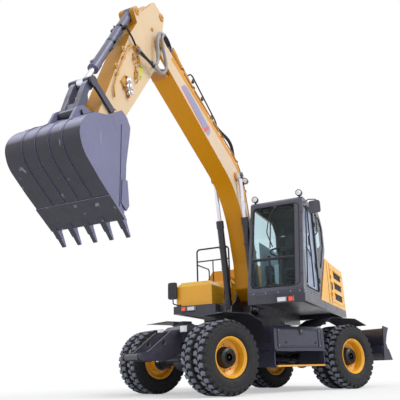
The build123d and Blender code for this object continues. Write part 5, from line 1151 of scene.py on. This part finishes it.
def seat():
    """Operator's seat: padded cushion, back and headrest on a sprung base."""
    x, y = 0.370, 0.773
    base = Piece("seat_base")
    for z, w in ((1.545, 0.34), (1.60, 0.30), (1.66, 0.33), (1.72, 0.30), (1.78, 0.34)):
        base.brick(UPPER, (x, y, z), (w, 0.34, 0.045), MATERIALS["dark_plastic"], 0.008)
    base.brick(UPPER, (x, y, 1.66), (0.27, 0.28, 0.24), SEAL, 0.02)
    base.brick(UPPER, (x, y, 1.822), (0.40, 0.38, 0.032), MATERIALS["dark_plastic"], 0.006)
    for off in (-0.05, 0.05):
        base.bar(UPPER, (x - 0.262, y + off, 2.60), (x - 0.268, y + off, 2.68), 0.008, BOLT_STEEL)
    base.on("upper", "dark_plastic")
    pad = cushion("seat_cushion", UPPER.moved(x + 0.02, y, 1.898), (0.49, 0.48, 0.12), (-0.45, 0.0, 0.45))
    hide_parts("operator_seat")
    lean = math.radians(10)
    upward = (UPPER.z * math.cos(lean) - UPPER.x * math.sin(lean)).normalized()
    back = Axes(UPPER.at(x - 0.190, y, 2.290), upward, -LEFT)
    cushion("seat_back", back, (0.68, 0.46, 0.115), (-0.5, -0.1, 0.3))
    head = Axes(UPPER.at(x - 0.258, y, 2.715), upward, -LEFT)
    cushion("seat_headrest", head, (0.185, 0.25, 0.085), ())


def studio():
    """Pale floor that fades into a white surround, and plain soft light."""
    scene = bpy.context.scene
    scene.view_settings.view_transform = "Standard"
    world = bpy.data.worlds.new("studio")
    scene.world = world
    world.use_nodes = True
    tree = world.node_tree
    tree.nodes.clear()
    rays = tree.nodes.new("ShaderNodeLightPath").outputs
    white = new_node(tree, "Background", Color=(1.0, 1.0, 1.0, 1.0), Strength=1.0)
    soft = new_node(tree, "Background", Color=(0.93, 0.96, 1.0, 1.0), Strength=0.62)
    also = calc(tree, "Math", "MAXIMUM", "Value", rays["Is Glossy Ray"], rays["Is Transmission Ray"])
    seen = calc(tree, "Math", "MAXIMUM", "Value", rays["Is Camera Ray"], also)
    mix = tree.nodes.new("ShaderNodeMixShader")
    tree.links.new(seen, mix.inputs["Fac"])
    tree.links.new(soft.outputs["Background"], mix.inputs[1])
    tree.links.new(white.outputs["Background"], mix.inputs[2])
    out = tree.nodes.new("ShaderNodeOutputWorld")
    tree.links.new(mix.outputs["Shader"], out.inputs["Surface"])
    for name, way, strength, angle in (
        ("key", (0.55, -1.0, -1.15), 2.0, 40),
        ("fill", (-0.9, -0.45, -0.5), 0.5, 60),
    ):
        light = bpy.data.objects.new(name, bpy.data.lights.new(name, "SUN"))
        light.data.energy = strength
        light.data.angle = math.radians(angle)
        light.rotation_mode = "QUATERNION"
        light.rotation_quaternion = Vector(way).to_track_quat("-Z", "Y")
        scene.collection.objects.link(light)
    floor()


def floor():
    """Round floor whose middle catches soft shadows."""
    size, corners = 60.0, 48
    mesh = bpy.data.meshes.new("floor")
    edge = [(size * math.cos(2 * math.pi * i / corners), size * math.sin(2 * math.pi * i / corners), 0)
            for i in range(corners)]
    mesh.from_pydata(edge, [], [list(range(corners))])
    ground = bpy.data.objects.new("floor", mesh)
    bpy.context.scene.collection.objects.link(ground)
    material = bpy.data.materials.new("floor")
    material.use_nodes = True
    tree = material.node_tree
    shader = tree.nodes["Principled BSDF"]
    shader.inputs["Base Color"].default_value = (0.86, 0.86, 0.86, 1.0)
    shader.inputs["Roughness"].default_value = 0.9
    shader.inputs["Specular IOR Level"].default_value = 0.0
    glow = tree.nodes.new("ShaderNodeEmission")
    rays = tree.nodes.new("ShaderNodeLightPath").outputs
    place = tree.nodes.new("ShaderNodeTexCoord").outputs["Object"]
    reach = calc(tree, "VectorMath", "LENGTH", "Value", place)
    fade = new_node(tree, "MapRange", To_Min=0.45, From_Min=4.0, From_Max=9.0)
    fade.interpolation_type = "SMOOTHSTEP"
    tree.links.new(reach, fade.inputs["Value"])
    seen = calc(tree, "Math", "MULTIPLY", "Value", fade.outputs["Result"], rays["Is Camera Ray"])
    mix = tree.nodes.new("ShaderNodeMixShader")
    tree.links.new(seen, mix.inputs["Fac"])
    tree.links.new(shader.outputs["BSDF"], mix.inputs[1])
    tree.links.new(glow.outputs["Emission"], mix.inputs[2])
    tree.links.new(mix.outputs["Shader"], tree.nodes["Material Output"].inputs["Surface"])
    mesh.materials.append(material)


place_camera()
dress_nodes()
tyres()
wheel_details()
joint_hoses()
arm_fittings()
boom_stripes()
boom_pipes()
boom_hoses()
cylinder_dress()
roof_lamps()
corner_lamps()
windscreen_trim()
cab_shade_lining()
door_trim()
skirt_bolts()
hood_trim()
side_box_trim()
boom_foot_hoses()
boom_cylinder_dress()
seat()
studio()
